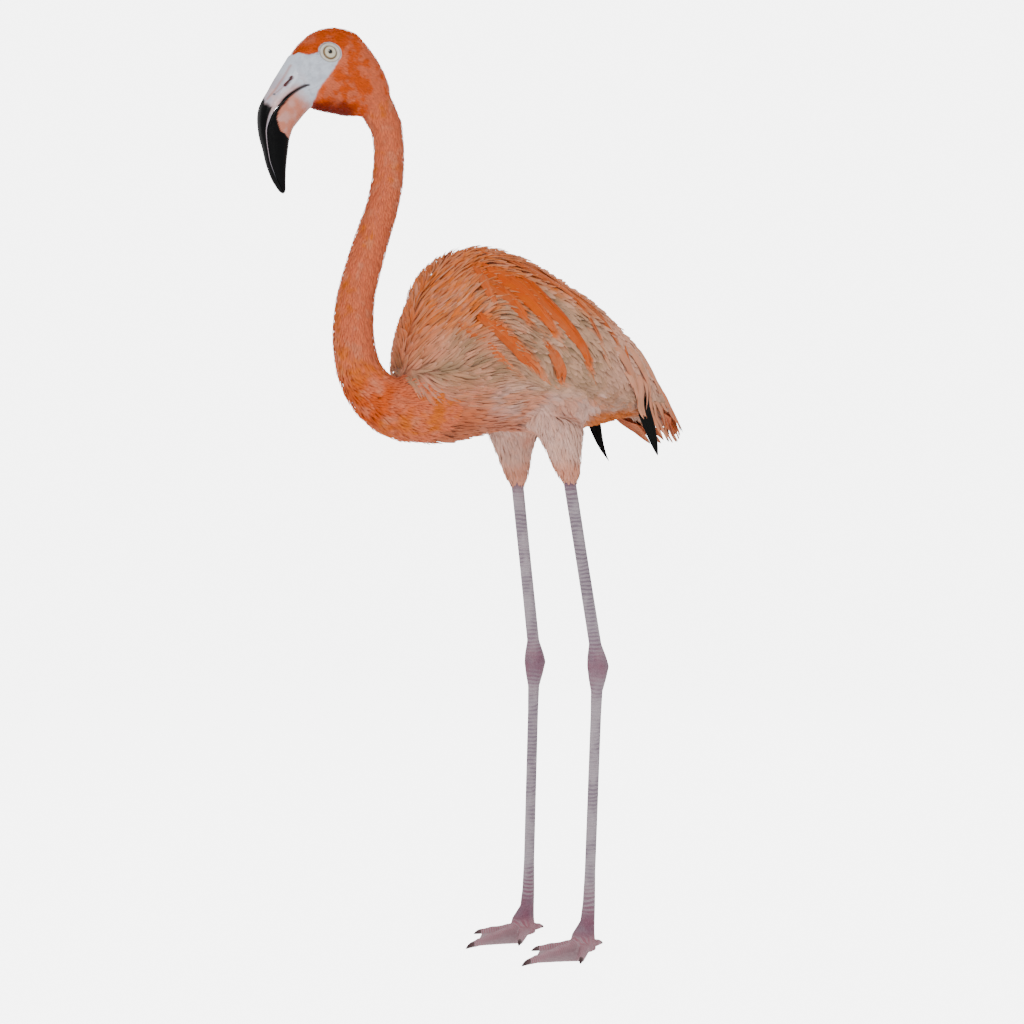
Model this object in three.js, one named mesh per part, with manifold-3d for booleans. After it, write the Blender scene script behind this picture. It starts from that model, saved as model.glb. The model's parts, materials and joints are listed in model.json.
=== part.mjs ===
// An American flamingo, Phoenicopterus ruber, standing still at life size.
// Millimetres, +Z up. The bird faces -Y with its left side on +X, and the floor is z = 0.
// Every length of body is its own closed solid, parted from its neighbour by GAP.
import * as THREE from "three";
import Module from "manifold-3d";
import { mergeVertices } from "three/addons/utils/BufferGeometryUtils.js";

const wasm = await Module();
wasm.setup();

// ---------------------------------------------------------------- driving dimensions
const GAP = 0.35; // clear space between two solids that meet
const HEAD_YAW = THREE.MathUtils.degToRad(22); // neck and head are turned this far to the bird's right
const NECK_ROOT_Y = -262; // where the plane of neck and head crosses the body's middle

// The body with its feathers, as upright ovals along y: top, bottom and half width.
const BODY = [
  { y: -292, top: 846, bottom: 704, half: 44 },
  { y: -270, top: 882, bottom: 697, half: 53 },
  { y: -238, top: 922, bottom: 695, half: 66 },
  { y: -200, top: 953, bottom: 699, half: 79 },
  { y: -150, top: 969, bottom: 711, half: 90 },
  { y: -90, top: 960, bottom: 722, half: 95 },
  { y: -20, top: 940, bottom: 724, half: 94 },
  { y: 40, top: 921, bottom: 731, half: 87 },
  { y: 100, top: 893, bottom: 744, half: 75 },
  { y: 150, top: 861, bottom: 756, half: 60 },
  { y: 200, top: 816, bottom: 762, half: 43 },
  { y: 235, top: 782, bottom: 750, half: 31 },
  { y: 264, top: 751, bottom: 733, half: 18 },
];
const CHEST_CAP = 46; // length of the chest's rounded front
const TRUNK_END_Y = 252;
const RUMP_CAP = 30;

// The neck's middle line in the neck plane (u forward of NECK_ROOT_Y, z up), with its radius.
const NECK = [
  { u: -56, z: 778, radius: 48 },
  { u: -14, z: 748, radius: 51 },
  { u: 22, z: 741, radius: 44 },
  { u: 52, z: 752, radius: 36 },
  { u: 76, z: 783, radius: 31 },
  { u: 85.5, z: 826, radius: 28 },
  { u: 83, z: 880, radius: 25.5 },
  { u: 61.5, z: 959, radius: 23 },
  { u: 43, z: 1020, radius: 21.5 },
  { u: 38, z: 1078, radius: 20.8 },
  { u: 44, z: 1115, radius: 22 },
  { u: 70, z: 1152, radius: 27 },
];
const NECK_CUTS = [0, 0.31, 0.51, 0.71, 1]; // where the neck is parted, as shares of its length
const NECK_WIDTH = 0.97; // the neck's width as a share of its depth
const NECK_BETWEEN_WINGS = 0.36; // the share of the neck that the fronts of the wings lie beside

// The head as upright ovals along u in the neck plane.
const HEAD = [
  { u: 37, top: 1170, bottom: 1134, half: 18 },
  { u: 50, top: 1184, bottom: 1127, half: 25 },
  { u: 70, top: 1209, bottom: 1120, half: 30.5 },
  { u: 92, top: 1227.5, bottom: 1117, half: 33 },
  { u: 114, top: 1229, bottom: 1116, half: 33 },
  { u: 136, top: 1223, bottom: 1118, half: 31 },
  { u: 154, top: 1209, bottom: 1121, half: 27.5 },
  { u: 168, top: 1193, bottom: 1128, half: 23 },
  { u: 180, top: 1178, bottom: 1140, half: 18 },
];
const NAPE_CAP = 22;
const FACE_CAP = 16;
const HEAD_SQUARENESS = 2.15; // 2 makes an oval section, and more makes a boxier one

// The bill's middle line in the neck plane. depth is half the bill from culmen to chin and half is half its
// width. mouth is the height of the mouth line in the section, from -1 at the chin to +1 at the culmen.
const BILL = [
  { u: 147, z: 1160, depth: 34.5, half: 23, mouth: -0.42 },
  { u: 164, z: 1141, depth: 28.5, half: 21.5, mouth: -0.12 },
  { u: 176.5, z: 1122.5, depth: 26, half: 20, mouth: 0.16 },
  { u: 187.5, z: 1103, depth: 24.6, half: 18.5, mouth: 0.32 },
  { u: 190.5, z: 1083, depth: 20.5, half: 16.5, mouth: 0.62 },
  { u: 189.5, z: 1064, depth: 16.4, half: 14, mouth: 0.72 },
  { u: 188, z: 1044, depth: 13, half: 11, mouth: 0.7 },
  { u: 184.5, z: 1025, depth: 9, half: 7.5, mouth: 0.5 },
  { u: 178.5, z: 1007, depth: 3.2, half: 3.2, mouth: 0.15 },
];
const BILL_TIP_CAP = 6;
const BILL_TIP_SHARE = 0.35; // the tip's section never shrinks below this share

const EYE_RADIUS = 10;
const EYE_U = 127;
const EYE_Z = 1185.5;
const EYE_SIDE = 24; // from the middle of the head to the middle of each eyeball

// One leg. x is out from the middle of the body, y is aft, and each joint is a named height.
const LEG = {
  hip: new THREE.Vector3(45, -38, 742),
  feathersEnd: new THREE.Vector3(51, -19, 657),
  hockTop: new THREE.Vector3(60.5, 25, 424),
  hock: new THREE.Vector3(61.5, 30, 392),
  hockBottom: new THREE.Vector3(61.5, 27, 357),
  ankle: new THREE.Vector3(61, 10, 62),
  instep: new THREE.Vector3(61, 5, 22),
};
const RIGHT_FOOT_AFT = 6;

// The leg's sections, each at a share of the way between two joints: half its depth from front to back,
// and flat, its width as a share of that depth.
const THIGH = [
  { share: 0, radius: 46, flat: 0.8 },
  { share: 0.3, radius: 38, flat: 0.8 },
  { share: 0.6, radius: 27.5, flat: 0.84 },
  { share: 0.85, radius: 17.5, flat: 0.9 },
  { share: 1, radius: 12.6, flat: 0.9 },
];
const TIBIA = [
  { share: 0, radius: 10.2, flat: 0.86 },
  { share: 0.5, radius: 9.6, flat: 0.86 },
  { share: 1, radius: 10.2, flat: 0.86 },
];
const HOCK_ABOVE = [
  { share: 0, radius: 10.2, flat: 0.86 },
  { share: 0.6, radius: 15.4, flat: 0.86 },
];
const HOCK_BELOW = [
  { share: 0, radius: 17.5, flat: 0.86 },
  { share: 0.5, radius: 14, flat: 0.86 },
  { share: 1, radius: 9.6, flat: 0.86 },
];
const TARSUS = [
  { share: 0, radius: 9.6, flat: 0.86 },
  { share: 0.12, radius: 8.6, flat: 0.86 },
  { share: 0.85, radius: 8.6, flat: 0.86 },
  { share: 1, radius: 10.1, flat: 0.86 },
];
const ANKLE = [
  { share: 0, radius: 10.1, flat: 0.86 },
  { share: 0.6, radius: 10.8, flat: 0.95 },
];
// The foot's rise over its toes: how far ahead of the instep and how high each section lies.
const FOOT_RISE = [
  { ahead: 7, z: 21, radius: 18, flat: 0.85 },
  { ahead: 9, z: -1, radius: 23, flat: 0.75 },
];

// The webbed foot: each toe's tip from the instep (out, forward), its root radius and its claw's length.
const TOES = {
  middle: { out: -4, forward: 127, root: 10.5, tip: 4.8, claw: 14 },
  outer: { out: 45, forward: 64, root: 9, tip: 4.4, claw: 10 },
  inner: { out: -46, forward: 64, root: 9, tip: 4.4, claw: 10 },
  hind: { out: -1, forward: -36, root: 9.5, tip: 3.6, claw: 7 },
};
const TOE_SINK = 0.25; // the share of a toe's radius that its flat sole cuts off
const CLAW_ROOT_SHARE = 0.8; // a claw's root as a share of its toe's end
const CLAW_POINT_RADIUS = 0.6;
const UNDER = { width: 600, length: 900, depth: 40 };
const WEB_THICKNESS = 2.6;
const WEB_LIFT = 0.3; // the web hangs this far clear of the floor
const WEB_HEEL = 4; // how far behind the instep the webs start
const WEB_REACH = 0.98; // a web ends at this share of its toes
const WEB_NOTCH = 0.064; // how far the web's edge curves in between two toes, as a share of its length

// The folded wings. inner and edge are how far off the body their faces lie, and rise is how far the outer
// face swells beyond that. fullness shapes the swell: less is fuller.
const WING = { front: -236, rear: 264, upper: 84, inner: 2, edge: 3.6, rise: 8.5, fullness: 0.6 };
const WING_SWELL_AHEAD = 0.12; // how much of the swell's arch lies ahead of the wing's front
const WING_SWELL_LENGTH = 1.1;
const WING_SWELL_EDGE = 0.08; // how much of the arch lies beyond the upper and the lower edge
// The wing's lower edge, as the angle round the body from its side (0) towards its top (90).
const WING_LOWER_EDGE = [
  { y: -236, angle: 22 },
  { y: -190, angle: -2 },
  { y: -110, angle: -18 },
  { y: 0, angle: -28 },
  { y: 120, angle: -50 },
  { y: 200, angle: -60 },
  { y: 264, angle: -62 },
];
// Long feathers at the wing's rear, each bent over from its root to its tip. tilt turns the vane from
// upright (0) towards flat (90), and the quills of the flight feathers are the lowest.
const TERTIALS = [
  { root: [20, 190, 819], bend: [18, 236, 778], tip: [12, 286, 742], width: 15, thick: 4, tilt: 50 },
  { root: [33, 172, 816], bend: [30, 228, 778], tip: [16, 278, 729], width: 14, thick: 4, tilt: 32 },
  { root: [50, 138, 812], bend: [46, 196, 782], tip: [38, 222, 753], width: 14, thick: 4, tilt: 14 },
];
const PRIMARIES = {
  root: [53, 128, 782],
  bend: [54, 150, 742],
  tip: [50, 184, 697],
  width: 11,
  thick: 3.6,
  tilt: 0,
};
const BLADE = { point: 0.16, taper: 2.2, thinnest: 0.4 }; // how a long feather narrows and thins to its tip
const TAIL = {
  root: { y: 222, z: 766, half: 24, thick: 7 },
  end: { y: 270, z: 734, half: 15, thick: 2.8 },
  slope: new THREE.Vector3(0, 0.6, 0.8),
  cap: 10,
  capReach: 30,
  tipShare: 0.3,
};

// ---------------------------------------------------------------- colours
const finish = (color, roughness) => new THREE.MeshStandardMaterial({ color, roughness, metalness: 0 });
const plumageOrange = finish(0xd9661f, 0.85);
const plumageSalmon = finish(0xd77a58, 0.85);
const plumagePale = finish(0xcf9c80, 0.85);
const featherBlack = finish(0x0b0a0c, 0.6);
const hornPink = finish(0xd9c4be, 0.4);
const hornBlack = finish(0x1a1718, 0.35);
const eyeCream = finish(0xe8e2cc, 0.1);
const legMauve = finish(0x9c8590, 0.6);
const legPink = finish(0xa8677c, 0.6);
const clawGrey = finish(0x4a4144, 0.45);

// ---------------------------------------------------------------- curves and sections
// Runs a smooth curve, with no overshoot, through every number of the stations at their places.
function smoothThrough(places, stations) {
  const keys = Object.keys(stations[0]);
  const last = places.length - 1;
  const slopes = {};
  for (const key of keys) {
    const rise = (i) => (stations[i + 1][key] - stations[i][key]) / (places[i + 1] - places[i]);
    slopes[key] = stations.map((_, i) => {
      if (i === 0) return rise(0);
      if (i === last) return rise(last - 1);
      const before = rise(i - 1);
      const after = rise(i);
      return before * after <= 0 ? 0 : (2 * before * after) / (before + after);
    });
  }
  return (place) => {
    const i = Math.max(0, Math.min(last - 1, places.findIndex((p) => p > place) - 1));
    const cell = place >= places[last] ? last - 1 : i;
    const width = places[cell + 1] - places[cell];
    const t = THREE.MathUtils.clamp((place - places[cell]) / width, 0, 1);
    const made = {};
    for (const key of keys) {
      const a = stations[cell][key];
      const b = stations[cell + 1][key];
      made[key] =
        (2 * t ** 3 - 3 * t ** 2 + 1) * a +
        (t ** 3 - 2 * t ** 2 + t) * width * slopes[key][cell] +
        (3 * t ** 2 - 2 * t ** 3) * b +
        (t ** 3 - t ** 2) * width * slopes[key][cell + 1];
    }
    return made;
  };
}

// How much a section shrinks at a distance from a rounded end, so that the end closes as part of an ellipse.
function roundedEnd(distance, cap) {
  if (cap <= 0 || distance >= cap) return 1;
  const inward = 1 - Math.max(distance, 0) / cap;
  return Math.sqrt(Math.max(0, 1 - inward * inward));
}

// Steps from 0 to 1 that crowd together at both ends.
const crowdedSteps = (count) =>
  Array.from({ length: count + 1 }, (_, i) => (1 - Math.cos((Math.PI * i) / count)) / 2);
const evenSteps = (count) => Array.from({ length: count + 1 }, (_, i) => i / count);

// A closed oval ring round a centre: half is its half width along side, up and down its reach along rise.
function ovalRing({ centre, side, rise, half, up, down, square = 2 }, count) {
  const ring = [];
  for (let i = 0; i < count; i++) {
    const angle = (2 * Math.PI * i) / count;
    const across = Math.sign(Math.cos(angle)) * Math.abs(Math.cos(angle)) ** (2 / square);
    const along = Math.sign(Math.sin(angle)) * Math.abs(Math.sin(angle)) ** (2 / square);
    ring.push(
      centre
        .clone()
        .addScaledVector(side, half * across)
        .addScaledVector(rise, (along > 0 ? up : down) * along),
    );
  }
  return ring;
}

// A closed body through rings of equal count, with a fan over each end.
function skinOver(rings) {
  const count = rings[0].length;
  const points = rings.flat();
  const triangles = [];
  for (let r = 0; r < rings.length - 1; r++) {
    for (let i = 0; i < count; i++) {
      const a = r * count + i;
      const b = r * count + ((i + 1) % count);
      triangles.push([a, b, b + count], [a, b + count, a + count]);
    }
  }
  const middleOf = (ring) =>
    ring.reduce((sum, p) => sum.add(p), new THREE.Vector3()).divideScalar(ring.length);
  const start = points.push(middleOf(rings[0])) - 1;
  const end = points.push(middleOf(rings[rings.length - 1])) - 1;
  const lastRing = (rings.length - 1) * count;
  for (let i = 0; i < count; i++) {
    const next = (i + 1) % count;
    triangles.push([start, next, i], [end, lastRing + i, lastRing + next]);
  }
  return closedGeometry(points, triangles);
}

// Points and triangles as a geometry whose faces point out.
function closedGeometry(points, triangles) {
  const geometry = new THREE.BufferGeometry().setFromPoints(points);
  const volume = triangles.reduce(
    (sum, [a, b, c]) => sum + points[a].dot(new THREE.Vector3().crossVectors(points[b], points[c])),
    0,
  );
  geometry.setIndex(triangles.flatMap(([a, b, c]) => (volume > 0 ? [a, b, c] : [a, c, b])));
  return geometry;
}

// ---------------------------------------------------------------- cutting and joining
function toManifold(geometry) {
  const bare = geometry.clone();
  bare.deleteAttribute("normal");
  bare.deleteAttribute("uv");
  const merged = mergeVertices(bare, 1e-3);
  return new wasm.Manifold(
    new wasm.Mesh({
      numProp: 3,
      vertProperties: merged.getAttribute("position").array,
      triVerts: new Uint32Array(merged.index.array),
    }),
  );
}

function toGeometry(solid) {
  const mesh = solid.getMesh();
  const geometry = new THREE.BufferGeometry();
  geometry.setAttribute("position", new THREE.BufferAttribute(mesh.vertProperties, 3));
  geometry.setIndex(new THREE.BufferAttribute(mesh.triVerts, 1));
  return geometry;
}

// The largest body of a solid, so that no loose sliver of a cut is left.
function mainBody(solid) {
  return solid.decompose().reduce((best, body) => (body.volume() > best.volume() ? body : best));
}

const joined = (...geometries) =>
  toGeometry(geometries.map(toManifold).reduce((solid, next) => solid.add(next)));

const cutAway = (geometry, ...tools) =>
  toGeometry(mainBody(tools.reduce((solid, tool) => solid.subtract(toManifold(tool)), toManifold(geometry))));

// ---------------------------------------------------------------- the body's form
const bodyAt = smoothThrough(BODY.map((s) => s.y), BODY);
const LEFT = new THREE.Vector3(1, 0, 0);
const UP = new THREE.Vector3(0, 0, 1);
const FRONT = new THREE.Vector3(0, -1, 0);

// A point of the body's form at y, at an angle round it from its left side (0) over its top (90).
function bodyPoint(y, angle) {
  const { top, bottom, half } = bodyAt(y);
  const shrink = roundedEnd(y - BODY[0].y, CHEST_CAP);
  const middle = (top + bottom) / 2;
  return new THREE.Vector3(
    half * shrink * Math.cos(angle),
    y,
    middle + ((top - bottom) / 2) * shrink * Math.sin(angle),
  );
}

function bodyNormal(y, angle) {
  const step = 0.01;
  const along = bodyPoint(y + 1, angle).sub(bodyPoint(y - 1, angle));
  const round = bodyPoint(y, angle + step).sub(bodyPoint(y, angle - step));
  return round.cross(along).normalize().negate();
}

// The trunk, or the same trunk grown by some clearance for cutting its neighbours.
function trunkGeometry(grow = 0) {
  const [ringCount, pointCount] = [20, 20];
  const front = BODY[0].y;
  const rings = crowdedSteps(ringCount)
    .slice(1, -1)
    .map((t) => {
      const y = front + t * (TRUNK_END_Y - front);
      const { top, bottom, half } = bodyAt(y);
      const shrink = roundedEnd(y - front, CHEST_CAP) * roundedEnd(TRUNK_END_Y - y, RUMP_CAP);
      const rise = ((top - bottom) / 2) * shrink + grow;
      const centre = new THREE.Vector3(0, y, (top + bottom) / 2);
      const section = { centre, side: LEFT, rise: UP, half: half * shrink + grow };
      return ovalRing({ ...section, up: rise, down: rise }, pointCount);
    });
  return skinOver(rings);
}

// ---------------------------------------------------------------- neck, head and bill
// The neck plane: u runs forward, side runs to the bird's left.
const FORWARD = new THREE.Vector3(-Math.sin(HEAD_YAW), -Math.cos(HEAD_YAW), 0);
const NECK_SIDE = new THREE.Vector3(Math.cos(HEAD_YAW), -Math.sin(HEAD_YAW), 0);
const inNeckPlane = (u, z, side = 0) =>
  new THREE.Vector3(0, NECK_ROOT_Y, z).addScaledVector(FORWARD, u).addScaledVector(NECK_SIDE, side);

// A line of stations in the neck plane: the station at a share of its length, with the directions there.
function planeLine(stations) {
  const curve = new THREE.CatmullRomCurve3(
    stations.map(({ u, z }) => new THREE.Vector3(u, 0, z)),
    false,
    "centripetal",
  );
  curve.arcLengthDivisions = 600;
  const length = curve.getLength();
  const shares = stations.map((_, i) => shareAtKnot(curve, i / (stations.length - 1)));
  const sizes = smoothThrough(shares, stations);
  return {
    length,
    at(share) {
      const point = curve.getPointAt(share);
      const tangent = curve.getTangentAt(share);
      return {
        ...sizes(share),
        centre: inNeckPlane(point.x, point.z),
        // across points to the outer side of the bend: the back of the neck, the crown and the culmen
        across: FORWARD.clone().multiplyScalar(-tangent.z).addScaledVector(UP, tangent.x).normalize(),
      };
    },
  };
}

// The share of a curve's length that lies before the knot at t.
function shareAtKnot(curve, t) {
  const divisions = curve.arcLengthDivisions;
  const lengths = curve.getLengths(divisions);
  return lengths[Math.round(t * divisions)] / lengths[divisions];
}

const neckLine = planeLine(NECK);

function neckGeometry(from, to, ringCount, grow = 0, pointCount = 16) {
  const rings = evenSteps(ringCount).map((t) => {
    const { centre, across, radius } = neckLine.at(THREE.MathUtils.lerp(from, to, t));
    const reach = radius + grow;
    const section = { centre, side: NECK_SIDE, rise: across };
    return ovalRing({ ...section, half: reach * NECK_WIDTH, up: reach, down: reach }, pointCount);
  });
  return skinOver(rings);
}

const headAt = smoothThrough(HEAD.map((s) => s.u), HEAD);

function headGeometry(grow = 0) {
  const [ringCount, pointCount] = [15, 20];
  const [back, front] = [HEAD[0].u, HEAD[HEAD.length - 1].u];
  const rings = crowdedSteps(ringCount)
    .slice(1, -1)
    .map((t) => {
      const u = THREE.MathUtils.lerp(back, front, t);
      const { top, bottom, half } = headAt(u);
      const shrink = roundedEnd(u - back, NAPE_CAP) * roundedEnd(front - u, FACE_CAP);
      const rise = ((top - bottom) / 2) * shrink + grow;
      const section = { centre: inNeckPlane(u, (top + bottom) / 2), side: NECK_SIDE, rise: UP };
      const reach = { half: half * shrink + grow, up: rise, down: rise, square: HEAD_SQUARENESS };
      return ovalRing({ ...section, ...reach }, pointCount);
    });
  return skinOver(rings);
}

const billLine = planeLine(BILL);

// One half of the bill. The section is an oval, cut level at the mouth line: upper keeps what lies above it.
function billGeometry(upper) {
  const [ringCount, arcCount] = [16, 9];
  const lip = GAP / 2;
  const rings = evenSteps(ringCount).map((t) => {
    const { centre, across, depth, half, mouth } = billLine.at(t);
    const shrink = Math.max(BILL_TIP_SHARE, roundedEnd((1 - t) * billLine.length, BILL_TIP_CAP));
    const opening = Math.asin(mouth + (upper ? lip : -lip) / (depth * shrink));
    const [first, last] = upper ? [opening, Math.PI - opening] : [Math.PI - opening, 2 * Math.PI + opening];
    return Array.from({ length: arcCount + 1 }, (_, i) => {
      const angle = THREE.MathUtils.lerp(first, last, i / arcCount);
      return centre
        .clone()
        .addScaledVector(NECK_SIDE, half * shrink * Math.cos(angle))
        .addScaledVector(across, depth * shrink * Math.sin(angle));
    });
  });
  return skinOver(rings);
}

function eyeGeometry(side, grow = 0) {
  const centre = inNeckPlane(EYE_U, EYE_Z, side * EYE_SIDE);
  return new THREE.SphereGeometry(EYE_RADIUS + grow, 12, 7).translate(centre.x, centre.y, centre.z);
}

// ---------------------------------------------------------------- legs and feet
// The same point on either side of the bird. Below the hock the right leg slants to a foot further aft.
function onSide({ x, y, z }, side) {
  const slant = Math.max(0, 1 - z / LEG.hockBottom.z);
  return new THREE.Vector3(x * side, side < 0 ? y + RIGHT_FOOT_AFT * slant : y, z);
}

// A limb through stations that each hold a point, a radius from front to back and a share of that across.
function limbGeometry(stations, side, pointCount = 12) {
  const rings = stations.map(({ at, radius, flat }) => {
    const section = { centre: onSide(at, side), side: LEFT, rise: FRONT, half: radius * flat };
    return ovalRing({ ...section, up: radius, down: radius }, pointCount);
  });
  return skinOver(rings);
}

const between = (a, b, t) => a.clone().lerp(b, t);
const lowered = (point, by) => new THREE.Vector3(point.x, point.y, point.z - by);

// The stations of a limb's sections between two joints.
const stationsBetween = (from, to, sections, grow = 0) =>
  sections.map(({ share, radius, flat }) => ({ at: between(from, to, share), radius: radius + grow, flat }));

const thighStations = (grow = 0) => stationsBetween(LEG.hip, LEG.feathersEnd, THIGH, grow);
const tibiaStations = () => stationsBetween(lowered(LEG.feathersEnd, GAP), LEG.hockTop, TIBIA);
const hockStations = () => [
  ...stationsBetween(lowered(LEG.hockTop, GAP), LEG.hock, HOCK_ABOVE),
  ...stationsBetween(LEG.hock, LEG.hockBottom, HOCK_BELOW),
];
const tarsusStations = () => stationsBetween(lowered(LEG.hockBottom, GAP), LEG.ankle, TARSUS);
const footStations = () => [
  ...stationsBetween(lowered(LEG.ankle, GAP), LEG.instep, ANKLE),
  ...FOOT_RISE.map(({ ahead, z, radius, flat }) => ({
    at: new THREE.Vector3(LEG.instep.x, LEG.instep.y - ahead, z),
    radius,
    flat,
  })),
];

// Where a toe's tip lies on the floor, on the bird's left foot.
const toeTip = ({ out, forward }) => new THREE.Vector3(LEG.instep.x + out, LEG.instep.y - forward, 0);

// A toe or a claw lying on the floor from one point to another, sunk by a share of its radius.
function toeGeometry(from, to, rootRadius, tipRadius, side, sink = TOE_SINK) {
  const [ringCount, sides] = [2, 8];
  const along = onSide(to, side).sub(onSide(from, side)).setZ(0).normalize();
  const across = new THREE.Vector3(-along.y, along.x, 0);
  const rings = evenSteps(ringCount).map((t) => {
    const radius = THREE.MathUtils.lerp(rootRadius, tipRadius, t);
    const centre = onSide(between(from, to, t), side).setZ(radius * (1 - sink));
    return ovalRing({ centre, side: across, rise: UP, half: radius, up: radius, down: radius }, sides);
  });
  return skinOver(rings);
}

// The web between two toes: a thin sheet from the instep, with its outer edge curved in.
function webGeometry(first, second, side) {
  const root = LEG.instep.clone().setZ(0);
  const back = new THREE.Vector3(root.x, root.y + WEB_HEEL, 0);
  const [a, b] = [first, second].map((toe) => between(root, clawRoot(toe), WEB_REACH));
  const notch = between(between(a, b, 0.5), root, WEB_NOTCH);
  const [heel, start, bend, end] = [back, a, notch, b].map((p) => onSide(p, side));
  const shape = new THREE.Shape();
  shape.moveTo(heel.x, heel.y);
  shape.lineTo(start.x, start.y);
  shape.quadraticCurveTo(bend.x, bend.y, end.x, end.y);
  shape.closePath();
  const sheet = { depth: WEB_THICKNESS, bevelEnabled: false, curveSegments: 4 };
  return new THREE.ExtrudeGeometry(shape, sheet).translate(0, 0, WEB_LIFT);
}

// All that lies below the floor, cut off the feet to leave flat soles.
const belowFloor = new THREE.BoxGeometry(UNDER.width, UNDER.length, UNDER.depth);
belowFloor.translate(0, 0, -UNDER.depth / 2);

function footGeometry(side) {
  const { middle, outer, inner } = TOES;
  const pieces = [
    limbGeometry(footStations(), side),
    ...Object.values(TOES).map((toe) => toeGeometry(LEG.instep, clawRoot(toe), toe.root, toe.tip, side)),
    webGeometry(middle, outer, side),
    webGeometry(middle, inner, side),
  ];
  return cutAway(joined(...pieces), belowFloor);
}

// A claw carries on from its toe to the toe's tip.
function clawRoot(toe) {
  const tip = toeTip(toe);
  const reach = LEG.instep.clone().setZ(0).distanceTo(tip);
  return between(LEG.instep.clone().setZ(0), tip, 1 - toe.claw / reach);
}

function clawGeometry(toe, side) {
  const root = clawRoot({ ...toe, claw: toe.claw - GAP });
  return toeGeometry(root, toeTip(toe), toe.tip * CLAW_ROOT_SHARE, CLAW_POINT_RADIUS, side, 0);
}

// ---------------------------------------------------------------- wings and tail
const wingEdgeAt = smoothThrough(WING_LOWER_EDGE.map((s) => s.y), WING_LOWER_EDGE);

// How full a wing is at a share of its length and of its height, from 0 to 1.
function wingSwell(along, up) {
  const lengthwise = Math.sin(Math.PI * Math.min(1, WING_SWELL_AHEAD + WING_SWELL_LENGTH * along));
  const upright = Math.sin(Math.PI * THREE.MathUtils.lerp(WING_SWELL_EDGE, 1 - WING_SWELL_EDGE, up));
  return Math.max(0, lengthwise * upright) ** WING.fullness;
}

// A folded wing: a shell on the body's side whose outer face swells and thins again to its edges.
function wingGeometry(side, tools) {
  const [lengthCount, heightCount] = [13, 6];
  const outer = [];
  const inner = [];
  for (const s of crowdedSteps(lengthCount)) {
    const y = THREE.MathUtils.lerp(WING.front, WING.rear, s);
    const lower = wingEdgeAt(y).angle;
    for (const t of evenSteps(heightCount)) {
      const angle = THREE.MathUtils.degToRad(THREE.MathUtils.lerp(lower, WING.upper, t));
      const normal = bodyNormal(y, angle);
      const place = bodyPoint(y, angle);
      outer.push(place.clone().addScaledVector(normal, WING.edge + WING.rise * wingSwell(s, t)));
      inner.push(place.clone().addScaledVector(normal, WING.inner));
    }
  }
  const feathers = TERTIALS.map((feather) => bladeGeometry(feather, side));
  const shell = shellBetween(outer, inner, lengthCount, heightCount, side);
  return cutAway(joined(shell, ...feathers), ...tools);
}

// Closes two grids of points, one over the other, into a body on one side of the bird.
function shellBetween(outer, inner, rows, columns, side) {
  const points = [...outer, ...inner].map((p) => onSide(p, side));
  const under = outer.length;
  const at = (r, c) => r * (columns + 1) + c;
  const triangles = [];
  const quad = (a, b, c, d) => triangles.push([a, b, c], [a, c, d]);
  for (let r = 0; r < rows; r++) {
    for (let c = 0; c < columns; c++) {
      quad(at(r, c), at(r, c + 1), at(r + 1, c + 1), at(r + 1, c));
      quad(under + at(r, c), under + at(r + 1, c), under + at(r + 1, c + 1), under + at(r, c + 1));
    }
    quad(at(r, 0), at(r + 1, 0), under + at(r + 1, 0), under + at(r, 0));
    quad(at(r + 1, columns), at(r, columns), under + at(r, columns), under + at(r + 1, columns));
  }
  for (let c = 0; c < columns; c++) {
    quad(at(0, c + 1), at(0, c), under + at(0, c), under + at(0, c + 1));
    quad(at(rows, c), at(rows, c + 1), under + at(rows, c + 1), under + at(rows, c));
  }
  return closedGeometry(points, triangles);
}

// A long feather as a bent blade that narrows to its tip.
function bladeGeometry({ root, bend, tip, width, thick, tilt }, side, grow = 0) {
  const corners = [root, bend, tip].map((p) => onSide(new THREE.Vector3(...p), side));
  const curve = new THREE.QuadraticBezierCurve3(...corners);
  const turn = THREE.MathUtils.degToRad(tilt);
  const rings = evenSteps(5).map((t) => {
    const along = curve.getTangent(t);
    const upright = new THREE.Vector3().crossVectors(along, LEFT).normalize();
    const across = upright.multiplyScalar(Math.cos(turn)).addScaledVector(LEFT, -side * Math.sin(turn));
    const flat = new THREE.Vector3().crossVectors(across, along).normalize();
    const narrow = Math.max(BLADE.point, 1 - t ** BLADE.taper);
    const half = (thick * THREE.MathUtils.lerp(BLADE.thinnest, 1, narrow)) / 2 + grow;
    const reach = width * narrow + grow;
    return ovalRing({ centre: curve.getPoint(t), side: flat, rise: across, half, up: reach, down: reach }, 8);
  });
  return skinOver(rings);
}

function tailGeometry(grow = 0) {
  const [ringCount, pointCount] = [8, 16];
  const tailAt = smoothThrough([0, 1], [TAIL.root, TAIL.end]);
  const rings = evenSteps(ringCount).map((t) => {
    const { y, z, half, thick } = tailAt(t);
    const shrink = Math.max(TAIL.tipShare, roundedEnd((1 - t) * TAIL.capReach, TAIL.cap));
    const reach = thick + grow;
    const section = { centre: new THREE.Vector3(0, y, z), side: LEFT, rise: TAIL.slope };
    return ovalRing({ ...section, half: half * shrink + grow, up: reach, down: reach }, pointCount);
  });
  return skinOver(rings);
}

// ---------------------------------------------------------------- the bird
const bird = new THREE.Group();

function addPart(name, geometry, material) {
  const mesh = new THREE.Mesh(geometry, material);
  mesh.name = name;
  bird.add(mesh);
}

const SIDES = [
  ["left", 1],
  ["right", -1],
];
const THIGH_SIDES = 16; // corners round each section of the thigh

addPart("trunk", trunkGeometry(), plumagePale);
const trunkClearance = trunkGeometry(GAP);
addPart("tail", cutAway(tailGeometry(), trunkClearance), plumageSalmon);

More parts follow.
